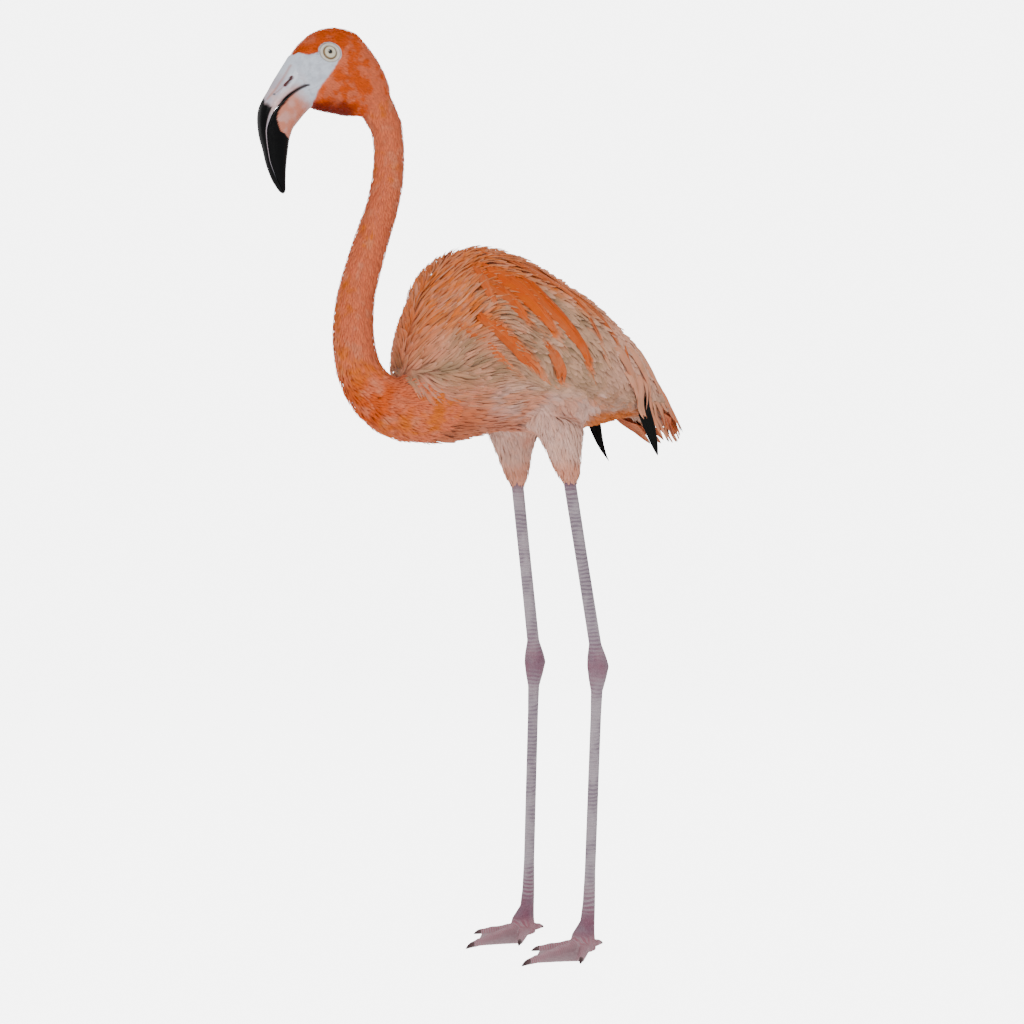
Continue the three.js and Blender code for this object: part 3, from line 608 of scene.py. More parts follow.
# ------------------------------------------------------------------ materials
class Nodes:
    """A material being built: each method adds one node and gives back its output."""

    def __init__(self, name):
        self.material = bpy.data.materials.new(name)
        self.material.use_nodes = True
        self.tree = self.material.node_tree
        self.shader = self.tree.nodes["Principled BSDF"]

    def add(self, kind, **settings):
        node = self.tree.nodes.new(kind)
        for key, value in settings.items():
            setattr(node, key, value)
        return node

    def feed(self, node, name, value):
        """Sets one input to another node's output, a number or a colour."""
        if isinstance(value, bpy.types.NodeSocket):
            self.tree.links.new(value, node.inputs[name])
        elif isinstance(value, tuple):
            node.inputs[name].default_value = (*value, 1.0)
        else:
            node.inputs[name].default_value = value

    def tint(self):
        return self.add("ShaderNodeAttribute", attribute_name="tint").outputs["Color"]

    def value(self, name):
        return self.add("ShaderNodeAttribute", attribute_name=name).outputs["Fac"]

    def texture(self, kind, output, scale, **settings):
        node = self.add(kind, **settings)
        self.feed(node, "Vector", self.add("ShaderNodeTexCoord").outputs["Object"])
        self.feed(node, "Scale", scale)
        return node, node.outputs[output]

    def noise(self, scale, detail=3.0):
        node, value = self.texture("ShaderNodeTexNoise", "Fac", scale)
        self.feed(node, "Detail", detail)
        return value

    def cells(self, scale):
        return self.texture("ShaderNodeTexVoronoi", "Distance", scale, feature="DISTANCE_TO_EDGE")[1]

    def maths(self, operation, a, b=0.0):
        node = self.add("ShaderNodeMath", operation=operation)
        self.feed(node, 0, a)
        self.feed(node, 1, b)
        return node.outputs[0]

    def plus(self, a, b):
        return self.maths("ADD", a, b)

    def minus(self, a, b):
        return self.maths("SUBTRACT", a, b)

    def times(self, a, b):
        return self.maths("MULTIPLY", a, b)

    def ramp(self, factor, low, high, start=0.0, end=1.0):
        node = self.add("ShaderNodeMapRange", clamp=True)
        names = ("Value", "From Min", "From Max", "To Min", "To Max")
        for name, value in zip(names, (factor, low, high, start, end)):
            self.feed(node, name, value)
        return node.outputs["Result"]

    def blend(self, a, b, factor, kind="MIX"):
        node = self.add("ShaderNodeMix", data_type="RGBA", blend_type=kind)
        for socket, value in ((0, factor), (6, a), (7, b)):  # 6 and 7 are its colours A and B
            self.feed(node, socket, value)
        return node.outputs[2]

    def stain(self, colour, by, factor):
        return self.blend(colour, by, factor, "MULTIPLY")

    def relief(self, height, strength, distance):
        node = self.add("ShaderNodeBump")
        for name, value in (("Height", height), ("Strength", strength), ("Distance", distance)):
            self.feed(node, name, value)
        self.feed(self.shader, "Normal", node.outputs["Normal"])

    def finish(self, colour, roughness, **sockets):
        self.feed(self.shader, "Base Color", colour)
        self.feed(self.shader, "Roughness", roughness)
        for name, value in sockets.items():
            self.feed(self.shader, name.replace("_", " "), value)
        return self.material


def vane_material(name, roughness):
    """Feather: the vertex tint, crossed by slanting barbs, with a paler quill down the middle."""
    n = Nodes(name)
    vane = n.add("ShaderNodeUVMap", uv_map="Vane").outputs["UV"]
    split = n.add("ShaderNodeSeparateXYZ")
    n.feed(split, 0, vane)
    off = n.maths("ABSOLUTE", n.minus(split.outputs["X"], 0.5))
    slant = n.times(n.minus(split.outputs["Y"], n.times(off, 0.55)), 260.0)
    barbs = n.ramp(n.maths("SINE", slant), -1.0, 1.0)
    quill = n.ramp(off, 0.0, 0.05, 1.0, 0.0)
    soft = n.noise(420.0, 2.0)
    colour = n.stain(n.tint(), (0.62, 0.56, 0.54), n.times(n.ramp(barbs, 0.55, 0.0), 0.16))
    colour = n.stain(colour, (1.3, 1.25, 1.2), n.times(quill, 0.5))
    colour = n.stain(colour, (1.2, 1.14, 1.1), n.ramp(soft, 0.5, 0.85, 0.0, 0.4))
    n.relief(n.plus(n.times(barbs, 0.5), quill), 0.35, 0.0004)
    rough = n.ramp(soft, 0.2, 0.8, roughness - 0.08, roughness + 0.08)
    return n.finish(colour, rough, Specular_IOR_Level=0.12)


def skin_material():
    """Skin with fine pores, and with scales where the legs are bare; the grooves between scales carry painted
    shade.
    """
    n = Nodes("skin")
    scaled = n.value("scaled")
    scutes = n.value("scutes")
    cells = n.cells(420.0)
    pores = n.noise(1100.0, 4.0)
    mottle = n.noise(160.0, 4.0)
    phase = n.maths("FRACT", n.value("phase"))
    off = n.maths("ABSOLUTE", n.minus(phase, 0.5))
    ragged = n.times(n.minus(mottle, 0.5), 0.16)
    line = n.ramp(n.plus(off, ragged), 0.39, 0.46)
    rim = n.ramp(n.plus(off, ragged), 0.2, 0.38)
    bands = n.times(line, scutes)
    small = n.times(scaled, n.minus(1.0, scutes))
    grooves = n.times(n.ramp(cells, 0.0, 0.1, 1.0, 0.0), small)
    colour = n.stain(n.tint(), (0.74, 0.66, 0.68), n.ramp(mottle, 0.45, 0.75, 0.0, 0.5))
    # the broad scales are greyed towards their edges, and the grooves between all scales are darkened:
    # painted shade in the grooves
    colour = n.blend(colour, (0.62, 0.55, 0.58), n.times(n.times(rim, scutes), 0.5))
    colour = n.stain(colour, (0.5, 0.4, 0.46), n.times(n.plus(bands, grooves), 0.6))
    n.relief(n.minus(n.times(pores, 0.3), n.plus(bands, n.times(grooves, 0.7))), 0.6, 0.0006)
    return n.finish(colour, n.ramp(mottle, 0.3, 0.7, 0.42, 0.6), Specular_IOR_Level=0.3)


def horn_material():
    """The bill and claws: smooth horn with long fine growth lines, duller where it is black."""
    n = Nodes("horn")
    grain = n.noise(260.0, 5.0)
    fine = n.noise(1500.0, 2.0)
    colour = n.stain(n.tint(), (0.8, 0.74, 0.74), n.ramp(grain, 0.45, 0.75, 0.0, 0.45))
    n.relief(n.plus(grain, n.times(fine, 0.3)), 0.25, 0.0006)
    shine = n.ramp(n.tint(), 0.0, 0.3, 0.12, 0.45)
    n.feed(n.shader, "Specular IOR Level", shine)
    return n.finish(colour, n.ramp(grain, 0.3, 0.7, 0.2, 0.36))


def eye_material():
    n = Nodes("eye")
    fibres = n.noise(1400.0)
    colour = n.stain(n.tint(), (0.78, 0.7, 0.55), n.ramp(fibres, 0.45, 0.8, 0.0, 0.5))
    wet = {"Specular_IOR_Level": 0.3, "Coat_Weight": 0.35, "Coat_Roughness": 0.05}
    return n.finish(colour, n.ramp(fibres, 0.0, 1.0, 0.08, 0.14), **wet)


def floor_material():
    """Pale and plain, and lit from within for the camera so that it meets the sky without a line."""
    n = Nodes("floor")
    speck = n.noise(9.0)
    colour = n.blend((0.9, 0.9, 0.9), (0.86, 0.86, 0.86), speck)
    n.feed(n.shader, "Emission Color", (1.0, 1.0, 1.0))
    seen = n.add("ShaderNodeLightPath").outputs["Is Camera Ray"]
    n.feed(n.shader, "Emission Strength", n.plus(n.times(seen, FLOOR_SEEN), FLOOR_LIGHT))
    return n.finish(colour, n.ramp(speck, 0.3, 0.7, 0.75, 0.85), Specular_IOR_Level=0.1)


# ------------------------------------------------------------------ skin
FLESH = ["trunk", "neck_base", "neck_lower", "neck_middle", "neck_upper", "head"]
for _side, _ in SIDES:
    FLESH += [f"{part}_{_side}" for part in ("thigh", "tibia", "hock", "tarsus", "foot")]
WINGS = ["wing_left", "wing_right", "tail"]
SKIN_VOXEL = 0.0015
BRIDGE = 0.6  # each length of flesh is swollen by this, so that neighbours grow together
TRUNK, NECK, HEAD, THIGH, LEG = range(5)  # the regions of the skin


def region_of(node):
    for index, start in enumerate(("trunk", "neck", "head", "thigh")):
        if node.startswith(start):
            return index
    return LEG


def swollen_copy(node):
    """A copy of a CAD node with its corners welded, a little larger all round."""
    source = bpy.data.objects[node]
    piece = bpy.data.objects.new(f"copy_{node}", source.data.copy())
    bpy.context.collection.objects.link(piece)

    def swell(bm):
        bmesh.ops.remove_doubles(bm, verts=bm.verts, dist=1e-6)
        bm.normal_update()
        for vert in bm.verts:
            vert.co += vert.normal * BRIDGE * MM

    edit_mesh(piece, swell)
    return piece


def tree_of(nodes):
    """A search tree over CAD nodes, in frame metres, and the region of each of its faces."""
    points, faces, regions = [], [], []
    for node in nodes:
        mesh = bpy.data.objects[node].data
        start = len(points)
        points += [v.co.copy() for v in mesh.vertices]
        faces += [[start + i for i in p.vertices] for p in mesh.polygons]
        regions += [region_of(node)] * len(mesh.polygons)
    return BVHTree.FromPolygons(points, faces), np.array(regions)


def nearest_regions(points):
    """The region of the CAD face nearest to each of the bird's points."""
    tree, regions = tree_of(FLESH)
    found = [tree.find_nearest(Vector(p))[2] for p in to_frame(points)]
    return regions[np.array(found)]


def coat_depth(points, region):
    """How far the skin lies under the solids at each point, by region."""
    z = points[:, 2]
    neck = 2.2 + 2.2 * step(*NECK_SWELL, z)
    head = 1.5 * (1 - face_bare(points)) + 0.1
    thigh = 0.3 + 4.0 * step(658, 700, z)
    where = [region == NECK, region == HEAD, region == THIGH, region == LEG]
    return np.select(where, [neck, head, thigh, 0.3], 6.0)


def neighbours_average(mesh, values, rounds):
    """Values smoothed along the mesh's edges."""
    a, b = read_rows(mesh.edges, "vertices", 2, np.int32).T
    count = np.bincount(np.concatenate([a, b]), minlength=len(values)).astype(float)
    flat = values.reshape(len(values), -1).astype(float)
    for _ in range(rounds):
        total = np.empty_like(flat)
        for k in range(flat.shape[1]):
            column = flat[:, k]
            total[:, k] = np.bincount(a, column[b], len(flat)) + np.bincount(b, column[a], len(flat))
        flat = 0.5 * flat + 0.5 * total / np.maximum(count, 1)[:, None]
    return flat.reshape(values.shape)


def relaxed(mesh, points, chosen, rounds):
    """The chosen points after many rounds of smoothing among themselves, with those at the edge held."""
    place = np.full(len(points), -1)
    place[chosen] = np.arange(len(chosen))
    ends = place[read_rows(mesh.edges, "vertices", 2, np.int32)]
    crossing = ends.min(1) < 0
    inner = ends[crossing].max(1)
    held = np.zeros(len(chosen), bool)
    held[inner[inner >= 0]] = True
    a, b = ends[~crossing].T
    count = np.maximum(np.bincount(np.concatenate([a, b]), minlength=len(chosen)), 1)
    flat = points[chosen].copy()
    fixed = flat[held].copy()
    for _ in range(rounds):
        for k in range(3):
            column = flat[:, k]
            total = np.bincount(a, column[b], len(flat)) + np.bincount(b, column[a], len(flat))
            flat[:, k] = 0.5 * column + 0.5 * total / count
        flat[held] = fixed
    return flat


def past_root(u, z):
    """How far points lie in front of the plane where the bill begins."""
    (u0, z0), (u1, z1) = BILL[0][:2], BILL[1][:2]
    return ((u - u0) * (u1 - u0) + (z - z0) * (z1 - z0)) / math.hypot(u1 - u0, z1 - z0)


def sculpt_head(points, normals, region):
    """Brow, cheek, lore and chin folds, the corner of the mouth and the skin's edge over the bill."""
    u, side, z = head_place(points)
    lore = bump(u, 148, 12) * bump(z, 1172, 10) * step(8, 16, np.abs(side))
    brow = bump(u, 128, 17) * bump(z, 1203, 5)
    cheek = bump(u, 128, 20) * bump(z, 1146, 11)
    gape = bump(u, 150, 8) * bump(z, 1147, 4)
    out = -1.3 * lore + 1.0 * brow + 0.9 * cheek + 0.7 * gape
    wrinkles = np.sin((z * 0.9 + u * 0.5) * 1.15 + wander(points, 7, 61, 5)) * 0.22
    out += face_bare(points) * (wrinkles + wander(points, 2.2, 62, 0.35))
    corner, _ = near_line(u, z, MOUTH_CORNER)
    out -= 1.5 * bump(corner, 0, 1.1) * step(6, 12, np.abs(side))
    out -= 1.5 * step(-2, 6, past_root(u, z))
    return points + normals * (out * (region == HEAD))[:, None]


def sculpt_lids(points, region):
    """A socket under each eye, with a lid's edge against the ball, its ridge and the fold outside it."""
    u, side, z = head_place(points)
    r = from_eye(u, z)
    ball = EYE_OUT + np.sqrt(np.maximum(EYE_RADIUS**2 - r**2, 0))
    edge = EYE_OUT + math.sqrt(EYE_RADIUS**2 - LID_EDGE**2)
    own = np.abs(side)
    beyond = step(LID_EDGE, 15.2, r)
    rim = edge * (1 - beyond) + own * beyond
    rim = rim + 1.25 * bump(r, 10.7, 1.5) - 0.9 * bump(r, LID_FOLD, 0.7) + 0.5 * bump(r, 14.5, 0.9)
    inside = np.minimum(ball, own) - 2.2
    on_lid = step(LID_EDGE - 0.7, LID_EDGE + 0.1, r)
    target = inside * (1 - on_lid) + rim * on_lid
    near = step(17.0, 15.0, r) * (region == HEAD) * (own > 15)
    return mix(points, in_head(u, np.sign(side) * target, z), near)


def sculpt_toes(points, region):
    """Swells the toes at their joints."""
    out, ahead = sole_place(points)
    reach = np.hypot(out, ahead)
    top = step(2.0, 5.0, points[:, 2]) * (region == LEG) * step(22, 16, points[:, 2])
    swell = sum(bump(reach, joint, 5.0) for joint in TOE_JOINTS) * toe_ridge(out, ahead) * 0.9
    points = points.copy()
    points[:, 2] += swell * top
    return points


def refine(piece, chosen):
    """Halves the edges whose ends are both chosen."""

    def cut(bm):
        bm.verts.ensure_lookup_table()
        edges = [e for e in bm.edges if chosen[e.verts[0].index] and chosen[e.verts[1].index]]
        bmesh.ops.subdivide_edges(bm, edges=edges, cuts=1, use_grid_fill=True, smooth=0.0)

    edit_mesh(piece, cut)


def refine_face(skin):
    """Finer faces over the bare face, and finer still round the eyes."""
    for around_eyes in (False, True):
        points = to_bird(read_points(skin.data))
        u, side, z = head_place(points)
        if around_eyes:
            chosen = (np.hypot(u - EYE_U, z - EYE_Z) < 16.5) & (np.abs(side) > 14)
        else:
            chosen = (face_bare(points) > 0.02) & (u > 100) & (z > 1100)
        refine(skin, chosen)


def smooth_thighs(mesh, points):
    """Eases each thigh into the belly above it."""
    x, y, z = points.T
    out = from_thigh(x, y)
    seat = bump(out, 1.0, 0.45) * bump(z, THIGH_TOP, 24)
    near = np.where((out < 1.6) & (np.abs(z - THIGH_TOP) < 34))[0]
    points[near] = mix(points[near], relaxed(mesh, points, near, 420), np.clip(seat[near] * 1.5, 0, 1))


def make_skin():
    """One closed skin cut from the flesh solids, sunk under the coat and modelled where it is bare."""
    pieces = [swollen_copy(node) for node in FLESH]
    select_only(pieces)
    bpy.ops.object.join()
    skin = pieces[0]
    skin.name = "skin"
    apply_modifier(skin, "REMESH", mode="VOXEL", voxel_size=SKIN_VOXEL, use_smooth_shade=True)
    refine_face(skin)
    mesh = skin.data
    points = to_bird(read_points(mesh))
    region = nearest_regions(points)
    smooth = neighbours_average(mesh, points, 12)
    soft = np.select([region <= NECK, region == HEAD, region == THIGH], [1.0, 0.9, 0.8], 0.25)
    points = mix(points, smooth, neighbours_average(mesh, soft, 8))
    smooth_thighs(mesh, points)
    set_points(mesh, points)
    depth = neighbours_average(mesh, coat_depth(points, region), 16)
    bare = np.maximum(face_bare(points) * (region == HEAD), region == LEG)
    depth = mix(depth[:, None], np.full((len(depth), 1), 0.2), bare)[:, 0]
    points = points - normals_of(mesh) * (depth + BRIDGE * 0.8)[:, None]
    points = sculpt_head(points, normals_of(mesh), region)
    points = sculpt_lids(points, region)
    points = sculpt_toes(points, region)
    points[:, 2] = np.maximum(points[:, 2], 0.0)
    set_points(mesh, points)
    thin_out(skin, points, region)
    return skin


def thin_out(skin, points, region):
    """Fewer faces under the feathers, where the skin is hidden."""
    hidden = (region <= NECK) | ((region == HEAD) & (face_bare(points) < 0.01)) | (region == THIGH)
    group = skin.vertex_groups.new(name="hidden")
    group.add([int(i) for i in np.where(hidden)[0]], 1.0, "REPLACE")
    how = {"decimate_type": "COLLAPSE", "ratio": 0.42, "use_collapse_triangulate": True}
    apply_modifier(skin, "DECIMATE", vertex_group="hidden", **how)
    skin.vertex_groups.clear()


def marks(points, region):
    """The markings of skin and coat alike, by region of the body."""
    result = np.empty((len(points), 3))
    for index, painter in enumerate((body_marks, neck_marks, head_marks, thigh_marks, leg_marks)):
        chosen = region == index
        if chosen.any():
            result[chosen] = painter(points[chosen])
    return result


def paint_skin(skin):
    """Tints the skin and gives it its scales; returns the region of each of its points."""
    mesh = skin.data
    points = to_bird(read_points(mesh))
    region = nearest_regions(points)
    set_tint(mesh, neighbours_average(mesh, marks(points, region), 2))
    set_value(mesh, "scaled", region == LEG)
    set_value(mesh, "phase", scute_phase(points))
    set_value(mesh, "scutes", scute_strength(points) * (region == LEG))
    mesh.materials.clear()
    dress(skin, skin_material(), "leg_skin", *FLESH, *WINGS)
    mesh.polygons.foreach_set("material_index", np.zeros(len(mesh.polygons), np.int32))
    return region


def unwrap_skin(skin):
    select_only([skin])
    while skin.data.uv_layers:
        skin.data.uv_layers.remove(skin.data.uv_layers[0])
    skin.data.uv_layers.new(name="OFBake")
    bpy.ops.object.mode_set(mode="EDIT")
    bpy.ops.mesh.select_all(action="SELECT")
    bpy.ops.uv.smart_project(angle_limit=math.radians(66), island_margin=0.002)
    bpy.ops.object.mode_set(mode="OBJECT")


# ------------------------------------------------------------------ where feathers grow
TRIES = 3.2  # roots tried over each patch of spacing by spacing


class Ground:
    """The skin as the feathers see it: nearest points, their normals, regions and places on its unwrap."""

    def __init__(self, skin, region):
        mesh = skin.data
        mesh.calc_loop_triangles()
        self.points = to_bird(read_points(mesh))
        self.triangles = read_rows(mesh.loop_triangles, "vertices", 3, np.int32)
        loops = read_rows(mesh.loop_triangles, "loops", 3, np.int32)
        self.uv = read_rows(mesh.uv_layers["OFBake"].data, "uv", 2)[loops]
        self.normals = normals_of(mesh)
        self.region = region[self.triangles[:, 0]]
        self.tree = BVHTree.FromPolygons(self.points.tolist(), self.triangles.tolist())
        a, b, c = self.corners(slice(None))
        self.area = np.linalg.norm(np.cross(b - a, c - a), axis=1) / 2

    def corners(self, faces):
        return (self.points[self.triangles[faces, i]] for i in range(3))

    def scatter(self, chosen, spacing, test):
        """Roots about spacing apart over the chosen faces that pass the test, and their bake places."""
        faces = np.where(chosen)[0]
        area = self.area[faces]
        wanted = int(area.sum() / spacing**2 * TRIES)
        drawn = faces[rng.choice(len(faces), wanted, p=area / area.sum())]
        s, t = rng.random(wanted), rng.random(wanted)
        past = s + t > 1
        s[past], t[past] = 1 - s[past], 1 - t[past]
        a, b, c = self.corners(drawn)
        spots = a + s[:, None] * (b - a) + t[:, None] * (c - a)
        kept = spread_out(spots, spacing)
        spots, s, t, uv = spots[kept], s[kept], t[kept], self.uv[drawn[kept]]
        places = uv[:, 0] * (1 - s - t)[:, None] + uv[:, 1] * s[:, None] + uv[:, 2] * t[:, None]
        passed = test(spots)
        return spots[passed], places[passed]

    def settle(self, spots):
        """The nearest points of the skin, with normals."""
        places, normals = np.empty_like(spots), np.empty_like(spots)
        flat_spots, flat_places = spots.reshape(-1, 3), places.reshape(-1, 3)
        found = [self.tree.find_nearest(Vector(p)) for p in flat_spots]
        flat_places[:] = [f[0] for f in found]
        corner = self.triangles[np.array([f[2] for f in found])]
        weights = 1 / (np.linalg.norm(self.points[corner] - flat_places[:, None], axis=2) + 0.3)
        normals.reshape(-1, 3)[:] = unit((self.normals[corner] * weights[..., None]).sum(1))
        return places, normals

    def unwrap_places(self, spots):
        """Where spots near the skin lie on its unwrap."""
        result = np.empty((len(spots), 2))
        for i, spot in enumerate(spots):
            place, _, face, _ = self.tree.find_nearest(Vector(spot))
            corners = self.points[self.triangles[face]]
            weights = 1 / (np.linalg.norm(corners - np.array(place), axis=1) + 0.05)
            result[i] = (self.uv[face] * (weights / weights.sum())[:, None]).sum(0)
        return result


NEIGHBOURS = [(x, y, z) for x in (-1, 0, 1) for y in (-1, 0, 1) for z in (-1, 0, 1)]


def spread_out(spots, spacing):
    """Which spots to keep so that no two are nearer than spacing."""
    cells, kept = {}, []
    near = spacing * spacing
    for index, (x, y, z) in enumerate(spots.tolist()):
        kx, ky, kz = math.floor(x / spacing), math.floor(y / spacing), math.floor(z / spacing)
        others = (o for dx, dy, dz in NEIGHBOURS for o in cells.get((kx + dx, ky + dy, kz + dz), ()))
        if all((ox - x) ** 2 + (oy - y) ** 2 + (oz - z) ** 2 >= near for ox, oy, oz in others):
            cells.setdefault((kx, ky, kz), []).append((x, y, z))
            kept.append(index)
    return np.array(kept)


# ------------------------------------------------------------------ feather vanes
ACROSS = np.array([-1.0, -0.55, 0.0, 0.55, 1.0])  # a vane's columns, from edge to edge
RIM = np.abs(ACROSS) > 0.9
BAKE_PATCH = 0.003  # how much of the unwrap each feather takes


def blade_vane(rows, outline, sweep, seed, ragged):
    """A vane on either side of a quill, frayed along its edges: rows of (along, across, crown) and faces."""
    local = np.random.default_rng(seed)
    along = np.linspace(0.0, 0.95, rows)
    width = outline(along)
    fray = 1 + local.uniform(-ragged, ragged, (rows, 5)) * RIM * step(0.1, 0.5, along)[:, None]
    slip = sweep * np.abs(ACROSS) * width[:, None]
    slip = slip + local.uniform(-0.4, 0.4, (rows, 5)) * ragged * RIM / rows
    s = np.minimum(along[:, None] + slip * (1 - along[:, None]) * 1.2, 0.995)
    v = ACROSS * width[:, None] * fray
    crown = np.broadcast_to(0.1 - 0.2 * np.abs(ACROSS), s.shape)
    points = np.stack([s, v, crown], -1).reshape(-1, 3)
    points = np.vstack([points, [1.0, 0.0, 0.0]])
    starts = [5 * r + c for r in range(rows - 1) for c in range(4)]
    quads = [(a, a + 1, a + 6, a + 5) for a in starts]
    last = (rows - 1) * 5
    tris = [(last + c, last + c + 1, len(points) - 1) for c in range(4)]
    return points, np.array(quads), np.array(tris)


def sliver_vane(crossings):
    """The smallest feather: a narrow leaf with a raised middle."""
    rows = [(0.0, 0.0, 0.0)]
    for i in range(1, crossings + 1):
        s = i / (crossings + 0.6)
        w = math.sin(math.pi * min(1, s * 0.85 + 0.08))
        rows += [(s, -w, 0.0), (s, 0.0, 0.3), (s, w, 0.0)]
    rows.append((1.0, 0.0, 0.0))
    quads = []
    for a in range(1, 3 * crossings - 2, 3):
        quads += [(a, a + 1, a + 4, a + 3), (a + 1, a + 2, a + 5, a + 4)]
    last = len(rows) - 1
    tris = [(0, 2, 1), (0, 3, 2), (last - 3, last - 2, last), (last - 2, last - 1, last)]
    return np.array(rows), np.array(quads).reshape(-1, 4), np.array(tris)


# Outlines of feathers: half width from root to tip.
def rounded(s):
    return np.sin(np.pi * np.clip(s, 0, 1) ** 0.75) ** 0.55 * (s < 1)


def pointed(s):
    s = np.clip(s, 0, 1)
    return (s + 0.04) ** 0.45 * (1 - s) ** 0.62 * 1.65


def tapered(root, swell, tip, end, floor):
    def outline(s):
        s = np.clip(s, 0, 1)
        return np.minimum(1, (s + root) * swell) * (1 - s**tip) ** end + floor

    return outline


quill_shape = tapered(0.03, 6, 5, 0.8, 0.0)
primary_shape = tapered(0.05, 5, 3, 0.8, 0.02)
lance_shape = tapered(0.1, 2.4, 2.6, 0.85, 0.01)


def lay_vanes(name, slot, roughness, lie, widths, places, vanes, tint, droop=0.0, nodes=()):
    """One mesh of feathers. lie is their paths and normals, each (n, k, 3), and tint gives their colours."""
    paths, normals = lie
    n, k, _ = paths.shape
    which = rng.integers(0, len(vanes), n)
    all_points, all_quads, all_tris, all_tint, all_vane, all_bake = [], [], [], [], [], []
    start = 0
    across = unit(np.cross(normals, unit(np.gradient(paths, axis=1))))
    for kind, (rows, quads, tris) in enumerate(vanes):
        chosen = np.where(which == kind)[0]
        if not len(chosen):
            continue
        s, v, crown = rows.T
        cell = np.minimum((np.clip(s, 0, 1) * (k - 1)).astype(int), k - 2)
        t = (s * (k - 1) - cell)[None, :, None]
        lines = (paths[chosen], across[chosen], normals[chosen])
        path, side, rise = (line[:, cell] * (1 - t) + line[:, cell + 1] * t for line in lines)
        half = widths[chosen][:, None, None] / 2
        height = crown[None, :, None] - droop * v[None, :, None] ** 2
        points = path + unit(side) * v[None, :, None] * half + unit(rise) * height * half
        shape = (len(chosen), len(rows))
        offsets = start + np.arange(len(chosen))[:, None, None] * len(rows)
        all_quads.append((quads[None] + offsets).reshape(-1, 4))
        all_tris.append((tris[None] + offsets).reshape(-1, 3))
        along, sideways = np.broadcast_to(s, shape), np.broadcast_to(v, shape)
        all_tint.append(tint(points, along, sideways, chosen).reshape(-1, 3))
        all_vane.append(np.stack([sideways * 0.5 + 0.5, along], -1).reshape(-1, 2))
        patch = places[chosen][:, None] + np.stack([sideways, along - 0.5], -1) * [BAKE_PATCH / 2, BAKE_PATCH]
        all_bake.append(np.clip(patch, 0, 1).reshape(-1, 2))
        all_points.append(points.reshape(-1, 3))
        start += len(rows) * len(chosen)
    faces = [np.concatenate(all_quads), np.concatenate(all_tris)]
    piece = mesh_object(name, np.concatenate(all_points), faces)
    set_uv(piece.data, "OFBake", np.concatenate(all_bake))
    set_uv(piece.data, "Vane", np.concatenate(all_vane))
    set_tint(piece.data, np.clip(np.concatenate(all_tint), 0, 1))
    dress(piece, vane_material(f"{name}_vanes", roughness), slot, *nodes)


def march(ground, roots, length, flow, steps):
    """Paths over the skin from the roots, each following flow(points) for its length."""
    places, normals = ground.settle(roots)
    path, rises = [places], [normals]
    for _ in range(steps):
        heading = flow(path[-1], rises[-1])
        heading = unit(heading - (heading * rises[-1]).sum(-1, keepdims=True) * rises[-1])
        place, normal = ground.settle(path[-1] + heading * (length / steps)[:, None])
        path.append(place)
        rises.append(unit(normal + rises[-1]))
    return np.stack(path, 1), np.stack(rises, 1)


def raise_paths(paths, normals, low, high):
    """Lifts each path off the skin, from low at its root to high at its tip."""
    s = np.linspace(0, 1, paths.shape[1]) ** 0.7
    return paths + normals * (low * (1 - s) + high[:, None] * s)[..., None]


LAYER_GAP = 13.0  # solids nearer than this over one another count as one body
LEAST_ROOM, MOST_ROOM = 0.5, 22.0


def room_above(outer, points, normals):
    """How far the solids reach above points on the skin, through each layer close over the last."""
    result = np.zeros(len(points))
    for i, (start, direction) in enumerate(zip(to_frame(points), normals)):
        direction = Vector(direction)
        here, travelled, last = Vector(start), 0.0, 3.0
        for _ in range(5):
            hit, _, _, away = outer.ray_cast(here, direction, LAYER_GAP * MM)
            if hit is None:
                break
            travelled += away / MM + 0.1
            last = travelled
            here = hit + direction * (0.1 * MM)
        result[i] = last
    return np.clip(result, LEAST_ROOM, MOST_ROOM)


def fill_room(outer, paths, normals, first, each, most=MOST_ROOM, extra=0.0):
    """Lifts paths into the room over them: each one's tip by its share, and its root by first times that."""
    room = room_above(outer, paths.reshape(-1, 3), normals.reshape(-1, 3)).reshape(paths.shape[:2])
    room = np.minimum(room, np.median(room, axis=1, keepdims=True) * 1.3 + 1.5)
    for _ in range(3):
        padded = np.pad(room, ((0, 0), (1, 1)), mode="edge")
        room = (padded[:, :-2] + padded[:, 1:-1] * 2 + padded[:, 2:]) / 4
    share = np.linspace(first, 1.0, paths.shape[1])[None] * each[:, None]
    return paths + normals * (np.minimum(room, most) * share + extra)[..., None]


# ------------------------------------------------------------------ the lie of the coat
# Degrees down from level at places along the body, on the flanks and on the folded wings.
FLANK_WAVE_Y = [-250, -190, -130, -80, -30, 20, 80, 200]
FLANK_WAVE = [-2, -16, -22, -10, 16, 42, 20, 4]
WING_DROOP_Y = [-245, -210, -170, -120, 20, 200]
WING_DROOP = [-38, -22, 12, 44, 48, 62]


def body_flow(points, normals):
    """Backwards over the body, drooping over the wings, waving along the flanks and down over the thighs."""
    x, y, z = xyz(points)
    wing = step(768, 800, z) * step(250, 150, y)
    droop = np.radians(8) * (1 - wing) + np.radians(np.interp(y, WING_DROOP_Y, WING_DROOP)) * wing
    droop = droop * step(1.0, 0.72, np.abs(normals[..., 2]))
    flank = step(802, 768, z)
    droop = droop * (1 - flank) + np.radians(np.interp(y, FLANK_WAVE_Y, FLANK_WAVE)) * flank
    droop = droop + np.radians(65) * thigh_share(points)
    breast = step(-236, -285, y) * step(830, 790, z)
    droop = droop * (1 - breast) + np.radians(55) * breast
    angle = droop + wander(points, 42, 51, 0.7)
    back = np.stack([np.zeros_like(x), np.cos(angle), -np.sin(angle)], -1)
    front = step(-0.4, -0.8, normals[..., 1]) * step(772, 800, z)
    upwards = np.stack([x / (np.abs(x) + 9), np.full_like(x, 0.4), np.full_like(x, 0.8)], -1)
    return mix(back, upwards, front)


